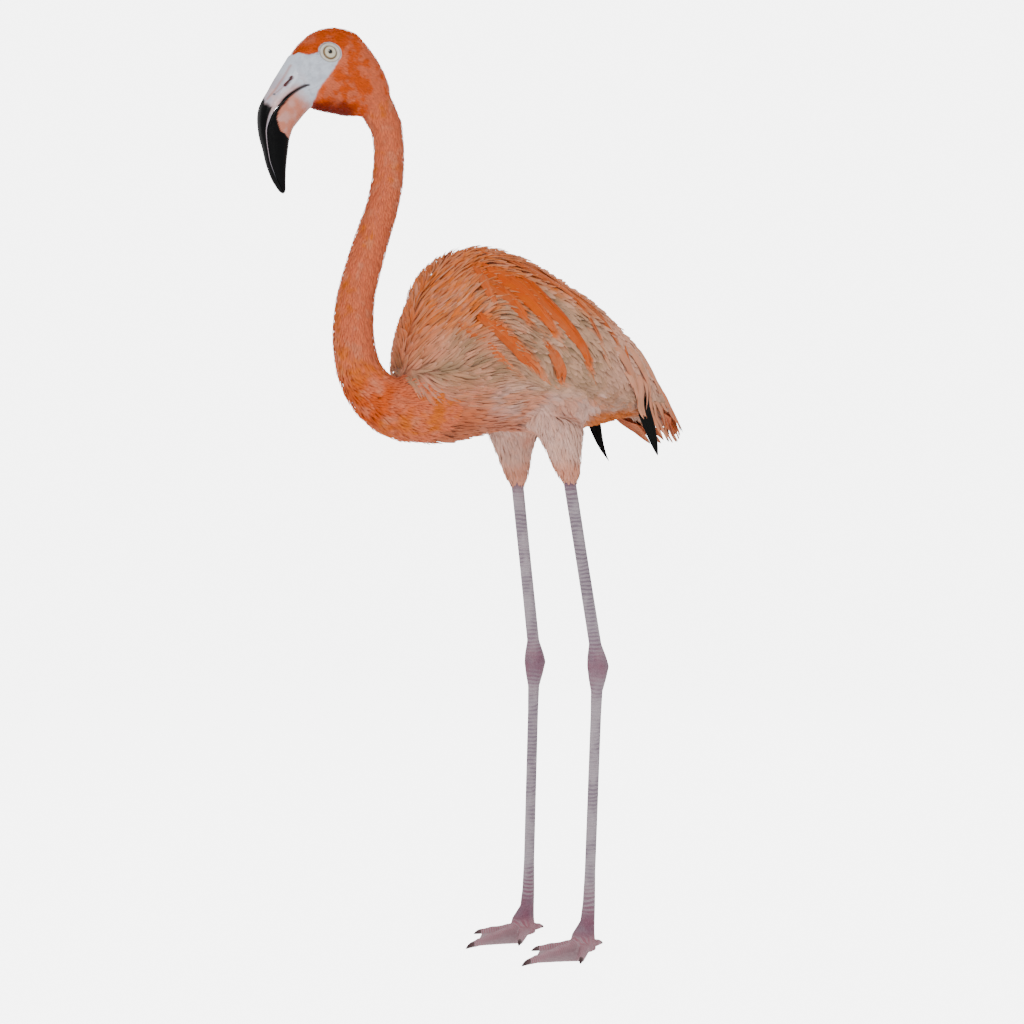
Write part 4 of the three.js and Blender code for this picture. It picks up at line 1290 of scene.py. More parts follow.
def neck_flow(points, normals):
    """Down the neck from head to body."""
    low = step(812, 752, points[..., 2])[..., None]
    sway = wander(points, 18, 52, 0.5)[..., None]
    return -UP[None] * (1 - low * 0.75) - FORWARD[None] * (low * 1.3) + SIDE[None] * sway


def head_flow(points, normals):
    """Back from the bill over the crown and down over the cheeks."""
    down = 0.35 + 0.5 * step(110, 50, head_place(points)[0])
    return -FORWARD[None] - UP[None] * (down + wander(points, 9, 53, 0.6))[..., None]


def thigh_flow(points, normals):
    sway = wander(points, 14, 54, 0.5)
    return np.stack([sway, 0.25 + sway, -np.ones_like(sway)], -1)


def tint_of(painter, shades, tip=PINK, tip_amount=0.0):
    """Colours from a marking painter, darker at the root, with each feather a shade of its own."""

    def tint(points, along, across, chosen):
        colour = mix(painter(points), tip, step(0.55, 1.0, along) * tip_amount)
        root = 0.72 + 0.28 * step(0.0, 0.55, along)
        return colour * (root * shades[chosen][:, None])[..., None]

    return tint


def edged_tint(painter, paths, shades, edge, edge_amount):
    """Colours partly from each point and partly from the feather's own middle, with an edge of its own."""
    own = painter(paths[:, paths.shape[1] // 2])

    def tint(points, along, across, chosen):
        colour = painter(points) * 0.5 + own[chosen][:, None] * 0.5
        border = np.maximum(step(0.55, 0.95, np.abs(across)), step(0.7, 1.0, along))
        colour = mix(colour, edge[chosen][:, None], border * edge_amount)
        root = 0.78 + 0.22 * step(0.0, 0.5, along)
        return colour * (root * shades[chosen][:, None])[..., None]

    return tint


def everywhere(points):
    return np.ones(len(points), bool)


def head_coat(ground):
    roots, places = ground.scatter(ground.region == HEAD, 1.6, lambda p: face_bare(p) < 0.25)
    n = len(roots)
    near_face = face_bare(roots + FORWARD * 3.0)
    length = rng.uniform(4.2, 6.0, n) * (1 - 0.4 * near_face)
    paths, normals = march(ground, roots, length, head_flow, 2)
    high = rng.uniform(0.9, 1.7, n) * (1 - 0.75 * near_face)
    paths = raise_paths(paths, normals, -0.1, high)
    widths = rng.uniform(1.2, 1.8, n)
    tint = tint_of(head_marks, rng.uniform(0.86, 1.14, n))
    lay_vanes("coat_head", "plumage_orange", 0.62, (paths, normals), widths, places, [sliver_vane(2)], tint)


def neck_coat(ground):
    roots, places = ground.scatter(ground.region == NECK, 2.3, everywhere)
    n = len(roots)
    low = step(*NECK_SWELL, roots[:, 2])
    paths, normals = march(ground, roots, rng.uniform(7.0, 10.0, n) * (1 + 0.7 * low), neck_flow, 2)
    paths = raise_paths(paths, normals, -0.1, rng.uniform(1.4, 2.5, n) * (1 + 1.0 * low))
    widths = rng.uniform(1.9, 2.8, n) * (1 + 0.5 * low)
    tint = tint_of(neck_marks, rng.uniform(0.86, 1.12, n), PINK, 0.15)
    lay_vanes("coat_neck", "plumage_salmon", 0.66, (paths, normals), widths, places, [sliver_vane(2)], tint)


def thigh_coat(ground):
    """Soft feathers down the thighs, from roots on the belly above them, so that no edge shows."""
    belly = (ground.region == TRUNK) & (thigh_share(ground.points[ground.triangles[:, 0]]) > 0.25)
    roots, places = ground.scatter((ground.region == THIGH) | belly, 3.3, everywhere)
    n, z = len(roots), roots[:, 2]
    above = step(THIGH_TOP - 14, THIGH_TOP + 10, z)
    length = rng.uniform(13, 20, n) * step(640, 690, z) * (1 + 0.7 * above) + 5
    paths, normals = march(ground, roots, length, thigh_flow, 4)
    high = rng.uniform(1.2, 3.6, n) * step(645, 690, z) + 0.5 + 3.0 * above
    paths = raise_paths(paths, normals, -0.2, high)
    widths = rng.uniform(2.8, 4.6, n)

    def painter(points):
        blend = step(THIGH_TOP - 30, THIGH_TOP + 16, points[..., 2] + wander(points, 12, 34, 20))
        return mix(thigh_marks(points), body_marks(points), blend)

    tint = tint_of(painter, rng.uniform(0.88, 1.1, n), DOWN, 0.35)
    lay_vanes("coat_thighs", "plumage_pale", 0.7, (paths, normals), widths, places, [sliver_vane(3)], tint)


def body_coat(ground, outer):
    """Contour feathers all over the trunk, one over the next like tiles: small on the shoulders."""

    def high(spots):
        return spots[:, 2] > COAT_EDGE + rng.normal(0, 8, len(spots))

    roots, places = ground.scatter(ground.region == TRUNK, 6.2, high)
    n, small = len(roots), step(-130, -205, roots[:, 1])
    paths, normals = march(ground, roots, rng.uniform(30, 40, n) * (1 - 0.36 * small), body_flow, 5)
    each = rng.uniform(0.74, 0.95, n) + 0.07 * small
    paths = fill_room(outer, paths, normals, 0.3, each, MOST_ROOM - 5 * small[:, None])
    widths = rng.uniform(11, 16, n) * (1 - 0.34 * small)
    vanes = [blade_vane(7, rounded, 0.16, 100 + i, 0.16) for i in range(6)]
    edge = mix(ROSE, ORANGE, small * step(825, 860, roots[:, 2]) * 0.8)
    tint = edged_tint(body_marks, paths, rng.uniform(0.84, 1.12, n), edge, 0.3)
    lay_vanes("coat_body", "plumage_pale", 0.66, (paths, normals), widths, places, vanes, tint, 0.1)


def flank_coat(ground, outer):
    """Wisps of down along the flanks and under the belly."""

    def low(spots):
        return spots[:, 2] < COAT_EDGE + 12 + rng.normal(0, 9, len(spots))

    roots, places = ground.scatter(ground.region == TRUNK, 4.0, low)
    n = len(roots)
    paths, normals = march(ground, roots, rng.uniform(20, 34, n), body_flow, 5)
    paths = fill_room(outer, paths, normals, 0.25, rng.uniform(0.55, 1.12, n), 15)
    widths = rng.uniform(3.2, 6.4, n)
    edge = mix(DOWN, SALMON, np.maximum(step(-180, -230, roots[:, 1]), step(10, 50, roots[:, 1])))
    tint = edged_tint(body_marks, paths, rng.uniform(0.82, 1.14, n), edge, 0.22)
    lay_vanes("coat_flanks", "plumage_pale", 0.7, (paths, normals), widths, places, [sliver_vane(4)], tint)


def wisp_coat(ground, outer):
    """Long thin plumes over the shoulders and the lower breast, which blur the feathers under them."""

    def in_front(spots):
        return (spots[:, 1] < rng.normal(-150, 20, len(spots))) & (spots[:, 2] > COAT_EDGE - 23)

    roots, places = ground.scatter(ground.region == TRUNK, 4.4, in_front)
    n = len(roots)
    paths, normals = march(ground, roots, rng.uniform(22, 42, n), body_flow, 6)
    paths = fill_room(outer, paths, normals, 0.55, rng.uniform(0.88, 1.06, n), 20, 0.4)
    warm = step(0.35, 0.75, rng.random(n)) * (0.3 + 0.7 * step(800, 850, roots[:, 2]))
    pale = mix(BEIGE, PALE, rng.random(n))
    edge = mix(pale, mix(ORANGE, SALMON, rng.random(n)), warm)
    tint = edged_tint(body_marks, paths, rng.uniform(0.82, 1.16, n), edge, 0.55)
    widths = rng.uniform(2.0, 4.4, n)
    lay_vanes("coat_wisps", "plumage_salmon", 0.68, (paths, normals), widths, places, [sliver_vane(4)], tint)


def plume_coat(ground, outer):
    """Long soft scapulars that droop over each wing."""

    def on_back(spots):
        x, y, z = spots.T
        backwards = ground.settle(spots)[1][:, 1] > -0.5
        return (z > 802 - 0.05 * y) & (y > -225) & (y < 150) & (np.abs(x) > 6) & backwards

    roots, places = ground.scatter(ground.region == TRUNK, 10.0, on_back)
    _, y, z = roots.T
    n = len(roots)
    length = rng.uniform(62, 100, n) * (0.55 + 0.45 * step(-225, -150, y)) * (1 + 0.3 * step(0, 120, y))
    length = np.minimum(length, (z - 760) * 1.3 + 14)
    paths, normals = march(ground, roots, length, body_flow, 7)
    paths = fill_room(outer, paths, normals, 0.4, rng.uniform(0.62, 0.95, n))
    widths = rng.uniform(13, 19, n) * (1 - 0.3 * step(-150, -215, y))
    streaked = streak_marks(paths[:, 3]) * 0.5 + streak_marks(paths[:, 5]) * 0.5
    shades = rng.uniform(0.86, 1.1, n)
    warm_edges = mix(PALE, ORANGE, step(0.35, 0.8, rng.random(n)) * step(60, -80, y))

    def tint(points, along, across, chosen):
        deep = streaked[chosen][:, None] * step(1.0, 0.5, along)
        colour = over(
            body_marks(points) * 0.55 + body_marks(paths[chosen, 4])[:, None] * 0.45,
            (DEEP_ORANGE * 0.6 + ORANGE * 0.4, deep * 0.8),
            (warm_edges[chosen][:, None], step(0.45, 0.95, np.abs(across)) * 0.4),
            (PALE, step(0.6, 1.0, along) * 0.35 * (1 - deep)),
        )
        return colour * (shades[chosen][:, None] * (0.8 + 0.2 * step(0, 0.4, along)))[..., None]

    vanes = [blade_vane(11, lance_shape, 0.08, 200 + i, 0.09) for i in range(6)]
    lay_vanes("coat_scapulars", "plumage_pale", 0.6, (paths, normals), widths, places, vanes, tint, 0.1)


def from_beside(outer, y, z, side):
    """The first point of the solids that a level ray from beside the bird meets, and the normal there."""
    return outer.ray_cast(Vector(to_frame((side * BESIDE, y, z))), Vector((-side, 0, 0)), 0.2)[:2]


LINE_STEPS, PATH_POINTS = 59, 10  # how finely a streak's line and a plume on it are cut


def streak_coat(ground, outer):
    """The deep orange plumes that lie over the others, in a bundle along each streak."""
    spots, widths, strengths = [], [], []
    for line, half, depth in STREAKS:
        whole = smooth_line(line, LINE_STEPS + 1)
        for _ in range(4 + int(half)):
            for _, sign in SIDES:
                start, end = rng.uniform(0.0, 0.3), rng.uniform(0.68, 1.0)
                path = whole[np.linspace(start * LINE_STEPS, end * LINE_STEPS, PATH_POINTS).astype(int)]
                along = unit(np.gradient(path, axis=0))
                aside = rng.uniform(-0.8, 0.8) * half * math.sin(math.pi * (start + end) / 2)
                path = path + along[:, ::-1] * [1, -1] * aside * np.linspace(1, 0.5, PATH_POINTS)[:, None]
                spots.append(np.column_stack([np.full(PATH_POINTS, sign * BESIDE), path]))
                widths.append(half * rng.uniform(1.4, 2.3))
                strengths.append(depth * rng.uniform(0.75, 1.0))
    spots, widths, strengths = np.array(spots), np.array(widths), np.array(strengths)
    outwards = np.sign(spots) * [1, 0, 0]
    normals = outwards.copy()
    for index in np.ndindex(spots.shape[:2]):
        side = outwards[index][0]
        hit, normal = from_beside(outer, *spots[index][1:], side)
        if hit is None:
            spots[index][0] = side * (BESIDE - 50)
            continue
        spots[index] = to_bird(np.array(hit))
        normals[index] = np.array(normal) * (np.sign(normal[0] * side) or 1)
    normals = unit(normals)
    for _ in range(2):
        normals[:, 1:-1] = unit(normals[:, :-2] + normals[:, 1:-1] + normals[:, 2:])
        spots[:, 1:-1] = spots[:, 1:-1] * 0.5 + (spots[:, :-2] + spots[:, 2:]) * 0.25
    n = len(spots)
    paths = spots - normals * rng.uniform(0.2, 1.6, n)[:, None, None]
    shades = rng.uniform(0.9, 1.12, n)

    def tint(points, along, across, chosen):
        deep = strengths[chosen][:, None] * (1 - 0.5 * step(0.75, 1.0, along)) * np.ones_like(along)
        fine = fine_noise(points)
        colour = mix(mix(PINK, ORANGE, fine), mix(ORANGE, DEEP_ORANGE, fine + 0.3), deep)
        return colour * (shades[chosen][:, None] * (0.78 + 0.14 * along))[..., None]

    places = ground.unwrap_places(paths[:, 0])
    vanes = [blade_vane(13, pointed, 0.06, 240 + i, 0.12) for i in range(5)]
    lay_vanes("coat_streaks", "plumage_orange", 0.58, (paths, normals), widths, places, vanes, tint, 0.16)


# ------------------------------------------------------------------ long feathers
# Feathers that end free behind the body: root, bend, tip, half width, how level they lie, how dark their tips
# are and how orange they are.
REAR_PLUMES = [
    ((14, 190, 853), (14, 246, 802), (12, 291, 743), 8, 0.36, 1.0, 0.5),
    ((20, 186, 832), (14, 252, 782), (11, 287, 738), 8, 0.36, 0.0, 0.9),
    ((28, 180, 816), (16, 248, 766), (15, 280, 732), 8, 0.36, 0.3, 0.6),
    ((38, 173, 804), (20, 236, 754), (17, 272, 727), 9.5, 0.3, 0.3, 0.15),
    ((42, 166, 802), (29, 219, 753), (23, 254, 726), 8.5, 0.28, 0.0, 0.4),
    ((45, 156, 798), (36, 202, 757), (30, 234, 724), 7.5, 0.26, 0.9, 0.1),
    ((48, 138, 806), (43, 180, 766), (35, 213, 732), 8, 0.24, 0.0, 0.35),
    ((50, 108, 830), (48, 146, 784), (42, 184, 738), 8.5, 0.2, 0.7, 0.1),
    ((58, 84, 832), (55, 128, 786), (46, 173, 735), 9.5, 0.2, 0.0, 0.15),
    ((62, 62, 828), (60, 102, 796), (53, 146, 752), 9, 0.15, 0.0, 0.1),
    ((66, 50, 822), (64, 88, 800), (57, 118, 772), 8, 0.12, 0.8, 0.0),
    ((14, 170, 860), (14, 212, 828), (12, 252, 790), 10, 0.45, 0.0, 1.0),
    ((45, 92, 868), (38, 156, 842), (30, 188, 792), 12, 0.35, 0.0, 0.15),
    ((56, 56, 864), (52, 116, 832), (45, 154, 786), 12, 0.3, 0.0, 0.1),
    ((66, 16, 860), (68, 72, 826), (62, 108, 786), 11, 0.2, 0.0, 0.2),
]
# The outer and the inner black flight feather of each wing as root, bend and tip, and the half width of all.
PRIMARIES = {
    "left": (
        ((50, 142, 792), (51, 178, 752), (48, 185, 699)),
        ((51, 132, 776), (52, 149, 742), (48, 183, 701)),
        5.0,
    ),
    "right": (
        ((50, 158, 790), (51, 162, 716), (48, 184, 696)),
        ((51, 130, 774), (52, 148, 730), (48, 183, 697)),
        3.6,
    ),
}
ROOT_SINKS = np.array([1, 0.85, 0.6, 0.25])  # how far each of a feather's first points is sunk


def feather_normals(paths, flat):
    """Normals of free feathers: flat is 1 for one that lies level and 0 for one on edge."""
    along = unit(np.gradient(paths, axis=1))
    out = np.zeros_like(paths)
    out[..., 0] = np.sign(paths[..., 0])
    level = unit(np.cross(along, np.cross(UP[None, None], along)))
    wanted = out * (1 - flat)[:, None, None] + level * flat[:, None, None]
    return unit(wanted - (wanted * along).sum(-1, keepdims=True) * along)


def out_of_body(outer, paths):
    """Moves the points of free feathers that lie under the solids' sides out to just above them."""
    moved = paths.copy()
    for index in np.ndindex(paths.shape[:2]):
        x, y, z = paths[index]
        side = np.sign(x) or 1.0
        hit, _ = from_beside(outer, y, z, side)
        if hit is not None:
            moved[index][0] = side * max(abs(x), abs(hit[0] / MM) + 0.6)
    for _ in range(2):
        moved[:, 1:-1, 0] = moved[:, 1:-1, 0] * 0.5 + (moved[:, :-2, 0] + moved[:, 2:, 0]) * 0.25
    return moved


def bezier(root, bend, tip, steps):
    """Curves (n, steps + 1, 3) from roots over bends to tips."""
    t = np.linspace(0, 1, steps + 1)[None, :, None]
    root, bend, tip = (np.asarray(p, float)[:, None] for p in (root, bend, tip))
    return (1 - t) ** 2 * root + 2 * t * (1 - t) * bend + t**2 * tip


def free_feathers(
    ground, outer, name, slot, guides, painter, shape, rows, spread, copies=2, ragged=0.03, nodes=(),
    sides=SIDES, right_rise=0, sunk=0,
):
    """Feathers along guides on both sides, with copies beside each that differ by about spread.

    On the right, the tips of those of middle length end higher by right_rise. Roots are sunk into the body.
    """
    corners, widths, flats, darks, warms = [], [], [], [], []
    for root, bend, tip, half, flat, dark, warm in guides:
        for _ in range(copies):
            for _, sign in sides:
                rise = np.array([0, 0, right_rise if sign < 0 and 100 < tip[1] < 240 else 0])
                slip = rng.normal(0, spread, 3)
                drift = rng.normal(0, spread * 0.5, 3)
                moves = np.array([slip, slip + drift + rise * 0.5, slip + 2 * drift + rise])
                corners.append(([root, bend, tip] + moves * [0.35, 1, 1]) * [sign, 1, 1])
                widths.append(half * 2 * rng.uniform(0.85, 1.1))
                flats.append(np.clip(flat + rng.normal(0, 0.05), 0.02, 0.98))
                darks.append([dark])
                warms.append([warm])
    paths = out_of_body(outer, bezier(*np.array(corners).transpose(1, 0, 2), 12))
    near_root = paths[:, :4, 0]
    paths[:, :4, 0] -= np.sign(near_root) * np.minimum(np.abs(near_root), sunk * ROOT_SINKS)
    normals = feather_normals(paths, np.array(flats))
    places = ground.unwrap_places(paths[:, 0])
    vanes = [blade_vane(rows, shape, 0.05, 300 + i, ragged) for i in range(4)]
    shades = rng.uniform(0.88, 1.08, len(paths))
    darks, warms = np.array(darks), np.array(warms)

    def tint(points, along, across, chosen):
        return painter(points, along, across, darks[chosen], warms[chosen]) * shades[chosen][:, None, None]

    lay_vanes(name, slot, 0.55, (paths, normals), np.array(widths), places, vanes, tint, 0.22, nodes)


def rear_painter(points, along, across, dark, warm):
    """Pale or orange down the middle, with warmer edges, and black along the edges towards a dark tip."""
    black = np.maximum(step(0.91, 0.95, along), step(0.66, 0.8, np.abs(across)) * step(0.5, 0.62, along))
    return over(
        mix(PALE, PINK, 0.3 + 0.7 * noise(points, 9, 71)),
        (BEIGE, step(0.5, 0.8, noise(points, 14, 73)) * 0.4),
        (mix(SALMON, ORANGE, warm), step(0.3, 0.9, np.abs(across)) * step(0.25, 0.8, along) * 0.6),
        (mix(ORANGE, DEEP_ORANGE, 0.5), warm * (0.35 + 0.5 * step(0.2, 0.9, along))),
        (FEATHER_BLACK, black * dark),
    )


def black_painter(points, along, across, dark, warm):
    return mix(FEATHER_BLACK, FEATHER_BLACK * 2, step(0.7, 1.0, np.abs(across)) * 0.5)


def tail_painter(points, along, across, dark, warm):
    return over(ORANGE, (PINK, noise(points, 8, 72)), (PALE, step(0.7, 1.0, along) * 0.5))


def rear_coats(ground, outer):
    """Tertials, the black flight feathers of each wing, and the tail."""
    free_feathers(
        ground, outer, "coat_tertials", "plumage_pale", REAR_PLUMES, rear_painter, lance_shape, 16, 0.9,
        right_rise=28, sunk=9,
    )
    for label, sign in SIDES:
        outermost, innermost, half = PRIMARIES[label]
        guides = []
        for share in np.linspace(0, 1, 6):
            corners = np.array(outermost, float) * (1 - share) + np.array(innermost) * share
            guides.append((*corners, half, 0.03, 1.0, 0.0))
        free_feathers(
            ground, outer, f"coat_primaries_{label}", "feather_black", guides, black_painter, primary_shape,
            18, 0.2, copies=1, ragged=0.02, nodes=(f"primaries_{label}",), sides=((label, sign),),
        )
    guides = []
    for i in range(7):
        out = 3.0 * i
        tip = (out * 0.9, 264 - 0.5 * i, 740)
        guides.append(((out * 0.8, 204, 768), (out, 240, 756), tip, 7, 0.97, 0.0, 0.5))
    free_feathers(ground, outer, "coat_tail", "plumage_salmon", guides, tail_painter, quill_shape, 14, 1.2)


# ------------------------------------------------------------------ bill, eyes and claws
# Lines and borders on the bill as (station along BILL, height in the section).
ROOT_REACH = 10.0  # how far the bill runs back under the skin
NASAL_CREASE = [(0.5, 0.78), (1.2, 0.74), (2.0, 0.78), (2.6, 0.86)]
NOSTRIL_LINE = [(0.93, 0.47), (1.2, 0.47), (1.5, 0.51)]
NOSTRIL_GROOVE = [(1.5, 0.51), (1.8, 0.58), (2.2, 0.7)]
BLACK_UPPER = np.array([(2.55, 1.0), (2.75, 0.85), (2.8, 0.7), (2.86, 0.45), (3.2, 0.3)])
BLACK_LOWER = np.array(
    [
        (1.0, 1.0), (1.12, -0.1), (1.5, -0.02), (2.0, 0.03), (2.5, 0.08), (3.0, 0.12),
        (3.33, 0.1), (3.73, -0.04), (4.07, -0.21), (4.17, -0.51), (4.35, -0.68), (4.5, -1.02),
    ]
)


def bill_line():
    """Places close together along the bill's middle line, with how many stations lie before each."""
    knots = np.array(BILL, float)[:, :2]
    ends = np.vstack([2 * knots[0] - knots[1], knots, 2 * knots[-1] - knots[-2]])
    places, stations = [], []
    for i in range(len(knots) - 1):
        p0, p1, p2, p3 = ends[i : i + 4]
        d0, d1, d2 = (math.sqrt(np.linalg.norm(b - a)) for a, b in ((p0, p1), (p1, p2), (p2, p3)))
        m1 = d1 * ((p1 - p0) / d0 - (p2 - p0) / (d0 + d1) + (p2 - p1) / d1)
        m2 = d1 * ((p2 - p1) / d1 - (p3 - p1) / (d1 + d2) + (p3 - p2) / d2)
        for t in np.linspace(0, 1, 40, endpoint=i == len(knots) - 2):
            places.append(hermite(p1, p2, m1, m2, t))
            stations.append(i + t)
    return np.array(places), np.array(stations)


def bill_sections(rows):
    """The bill at even steps: centres, directions to the culmen, sizes, stations and what is left."""
    places, stations = bill_line()
    reach = np.concatenate([[0], np.cumsum(np.linalg.norm(np.diff(places, axis=0), axis=1))])
    at = np.linspace(0, reach[-1], rows)
    centres = np.stack([np.interp(at, reach, places[:, k]) for k in (0, 1)], -1)
    station = np.interp(at, reach, stations)
    tangents = unit(np.gradient(centres, axis=0))
    culmen = np.stack([-tangents[:, 1], tangents[:, 0]], -1)
    knots = np.array(BILL, float)[:, 2:]
    sizes = np.stack([np.interp(station, np.arange(len(knots)), knots[:, k]) for k in range(3)], -1)
    padded = np.pad(sizes, ((3, 3), (0, 0)), mode="edge")
    sizes = np.stack([np.convolve(padded[:, k], np.ones(7) / 7, "valid") for k in range(3)], -1)
    sizes[-1] = knots[-1]
    back = np.linspace(ROOT_REACH, 1.5, 6)[:, None]
    centres = np.vstack([centres[0] - tangents[0] * back, centres])
    culmen = np.vstack([np.repeat(culmen[:1], 6, 0), culmen])
    sizes = np.vstack([sizes[0] - back * [0.22, 0.16, 0], sizes])
    station = np.concatenate([-back[:, 0] / 25, station])
    left = np.concatenate([reach[-1] + back[:, 0], reach[-1] - at])
    return centres, culmen, sizes, station, left


def make_bill(upper):
    """One half of the bill, from its root under the skin to its tip."""
    columns = 56
    centres, culmen, sizes, station, left = bill_sections(144)
    rows = len(centres)
    depth, half, mouth = sizes.T
    cap = np.maximum(np.sqrt(np.clip(1 - (1 - np.clip(left / 6.0, 0, 1)) ** 2, 0, 1)), 0.12)
    gap = 0.45 * step(0.9, 1.8, station)
    opening = np.arcsin(np.clip(mouth + (gap if upper else -gap) / (depth * cap), -0.97, 0.97))
    start = opening if upper else np.pi - opening
    end = np.pi - opening if upper else 2 * np.pi + opening
    t = np.linspace(0, 1, columns)[None]
    angle = start[:, None] * (1 - t) + end[:, None] * t
    s = np.broadcast_to(station[:, None], angle.shape)
    v = np.sin(angle)
    across = np.cos(angle)
    # the sides are flatter than an oval, and the upper half carries a low ridge along its middle
    wide = np.sign(across) * np.abs(across) ** 0.86
    tall = v
    if upper:
        tall = v + 0.03 * bump(across, 0, 0.2)
        slit, _ = near_line(s, v, NOSTRIL_LINE)
        crease, _ = near_line(s, v, NASAL_CREASE)
        wide = wide * (1 - 0.1 * bump(slit, 0, 0.05) - 0.05 * bump(crease, 0, 0.07))
    rim = bump(t, 0, 0.04) + bump(t, 1, 0.04)
    wide = wide * (1 + (0.035 if upper else 0.05) * rim * step(0.8, 1.6, station)[:, None])
    grooves = np.sin(v * 26 + 2.5 * noise(np.stack([s * 3, v * 2, across], -1), 1.0, 81)) * 0.006
    wide = wide * (1 + grooves)
    base = in_head(centres[:, 0], 0.0, centres[:, 1])[:, None]
    rise = (culmen[:, :1] * FORWARD + culmen[:, 1:] * UP)[:, None]
    wide, tall = wide * (half * cap)[:, None], tall * (depth * cap)[:, None]
    points = base + SIDE * wide[..., None] + rise * tall[..., None]
    corners = np.vstack([points.reshape(-1, 3), points[-1].mean(0), points[0].mean(0)])
    name = "bill_upper" if upper else "bill_lower"
    piece = mesh_object(f"{name}_horn", corners, tube_faces(rows, columns))
    edit_mesh(piece, turn_out)
    painter = upper_marks if upper else lower_marks
    colours = painter(points, s, v, mouth[:, None], np.minimum(t, 1 - t) * np.ones_like(s)).reshape(-1, 3)
    # the middle of the tip's cap is black, and that of the root's cap, under the skin, takes the dark gap's
    # painted shade
    set_tint(piece.data, np.vstack([colours, [BILL_BLACK, GAP_SHADE]]))
    r, c = np.meshgrid(np.linspace(0, 1, rows), np.linspace(0, 1, columns), indexing="ij")
    uv = np.stack([0.02 + 0.44 * c + (0.0 if upper else 0.5), 0.02 + 0.96 * r], -1).reshape(-1, 2)
    set_uv(piece.data, "OFBake", np.vstack([uv, uv[-1], uv[0]]))
    dress(piece, horn, "horn_pink" if upper else "horn_black", name)


def upper_marks(points, s, v, mouth, edge):
    """Grey white to pink at the root and black from the bend on, with a pale edge along the mouth."""
    rough = wander(points, 4, 82, 0.12)
    crease, _ = near_line(s, v, NASAL_CREASE)
    slit, _ = near_line(s, v, NOSTRIL_LINE)
    groove, _ = near_line(s, v, NOSTRIL_GROOVE)
    border = np.interp(-v, -BLACK_UPPER[:, 1], BLACK_UPPER[:, 0])
    black = step(-0.05, 0.12, s - border + rough)
    pale = step(0.085, 0.045, edge + step(3.0, 4.2, s) * 0.035)
    return over(
        mix(FACE, BILL_GREY, step(0.8, 1.6, s)),
        (NOSE_PINK, step(0.4, 0.8, noise(points, 9, 83)) * step(0.6, 1.4, s) * 0.7),
        (BILL_PINK, step(0.4, 0.1, v - mouth) * step(0.7, 1.3, s) * 0.5),
        (BILL_PINK * 0.8, bump(crease, 0, 0.05) * 0.6),
        (BILL_BLACK, black * (1 - pale * step(6.9, 5.5, s))),
        (FACE_SHADE, pale * step(2.7, 3.4, s) * step(7.2, 6.0, s) * 0.7),
        (NOSTRIL * 0.6 + BILL_PINK * 0.4, step(0.035, 0.01, groove) * 0.55),
        (NOSTRIL, step(0.085, 0.05, slit + rough * 0.1)),
        # painted shade at the core of the nostril slit
        (GAP_SHADE, step(0.05, 0.02, slit + 0.04 * (s - 1.1))),
        (FACE_SHADE * 0.4, step(0.09, 0.03, np.hypot(s - 2.25, v - 0.71))),
        # painted shade along the mouth line between the two halves of the bill
        (GAP_SHADE, step(0.03, 0.012, edge) * step(0.4, 0.6, s) * step(2.6, 2.2, s)),
    )


def lower_marks(points, s, v, mouth, edge):
    """Pink at the root and black below a border that climbs to the mouth."""
    rough = wander(points, 4, 82, 0.12)
    border = np.interp(s, BLACK_LOWER[:, 0], BLACK_LOWER[:, 1])
    return over(
        BILL_PINK,
        (NOSE_PINK, step(0.45, 0.8, noise(points, 9, 83)) * 0.35),
        (FACE, step(1.9, 0.9, s + rough * 2)),
        # painted shade along the mouth line between the two halves of the bill
        (GAP_SHADE, step(0.035, 0.012, edge) * step(0.4, 0.6, s)),
        (BILL_BLACK, step(-0.03, 0.05, v - border + rough * 0.6)),
    )


def make_eye(name, sign):
    """A ball with a slightly raised cornea, a pale iris and a dark pupil looking forward of its middle."""
    bpy.ops.mesh.primitive_uv_sphere_add(segments=72, ring_count=48, radius=EYE_RADIUS * MM)
    piece = bpy.context.object
    piece.name = f"eye_{name}_ball"
    mesh = piece.data
    x, y, z = (read_points(mesh) / MM).T
    r = np.hypot(x, y)
    front = z > 0
    cornea = 0.25 * step(6.0, 0.0, r) * front
    set_points(mesh, in_head(EYE_U + x, sign * (EYE_OUT + z + cornea), EYE_Z + y))
    pupil = np.hypot(x - 0.9, y + 0.3)
    spokes = noise(np.stack([np.arctan2(y, x) * 5, r * 0.5, r * 0], -1), 0.6, 91)
    colour = over(
        mix(IRIS_CREAM, IRIS_CREAM * 0.78, spokes),
        (IRIS_BROWN, step(IRIS - 1.3, IRIS, r) * 0.9),
        (IRIS_BROWN, bump(pupil, PUPIL + 0.4, 0.5) * 0.5),
        (PUPIL_BLACK, step(PUPIL + 0.25, PUPIL - 0.15, pupil)),
        (LID_CREAM, ~front),
    )
    set_tint(mesh, colour)
    for layer in list(mesh.uv_layers):
        mesh.uv_layers.remove(layer)
    set_uv(mesh, "OFBake", np.stack([0.5 + x / 42 + np.where(front, -0.25, 0.25), 0.5 + y / 42], -1))
    mesh.polygons.foreach_set("use_smooth", np.ones(len(mesh.polygons), bool))
    edit_mesh(piece, turn_out)
    dress(piece, eyeball, "eye", f"eye_{name}")


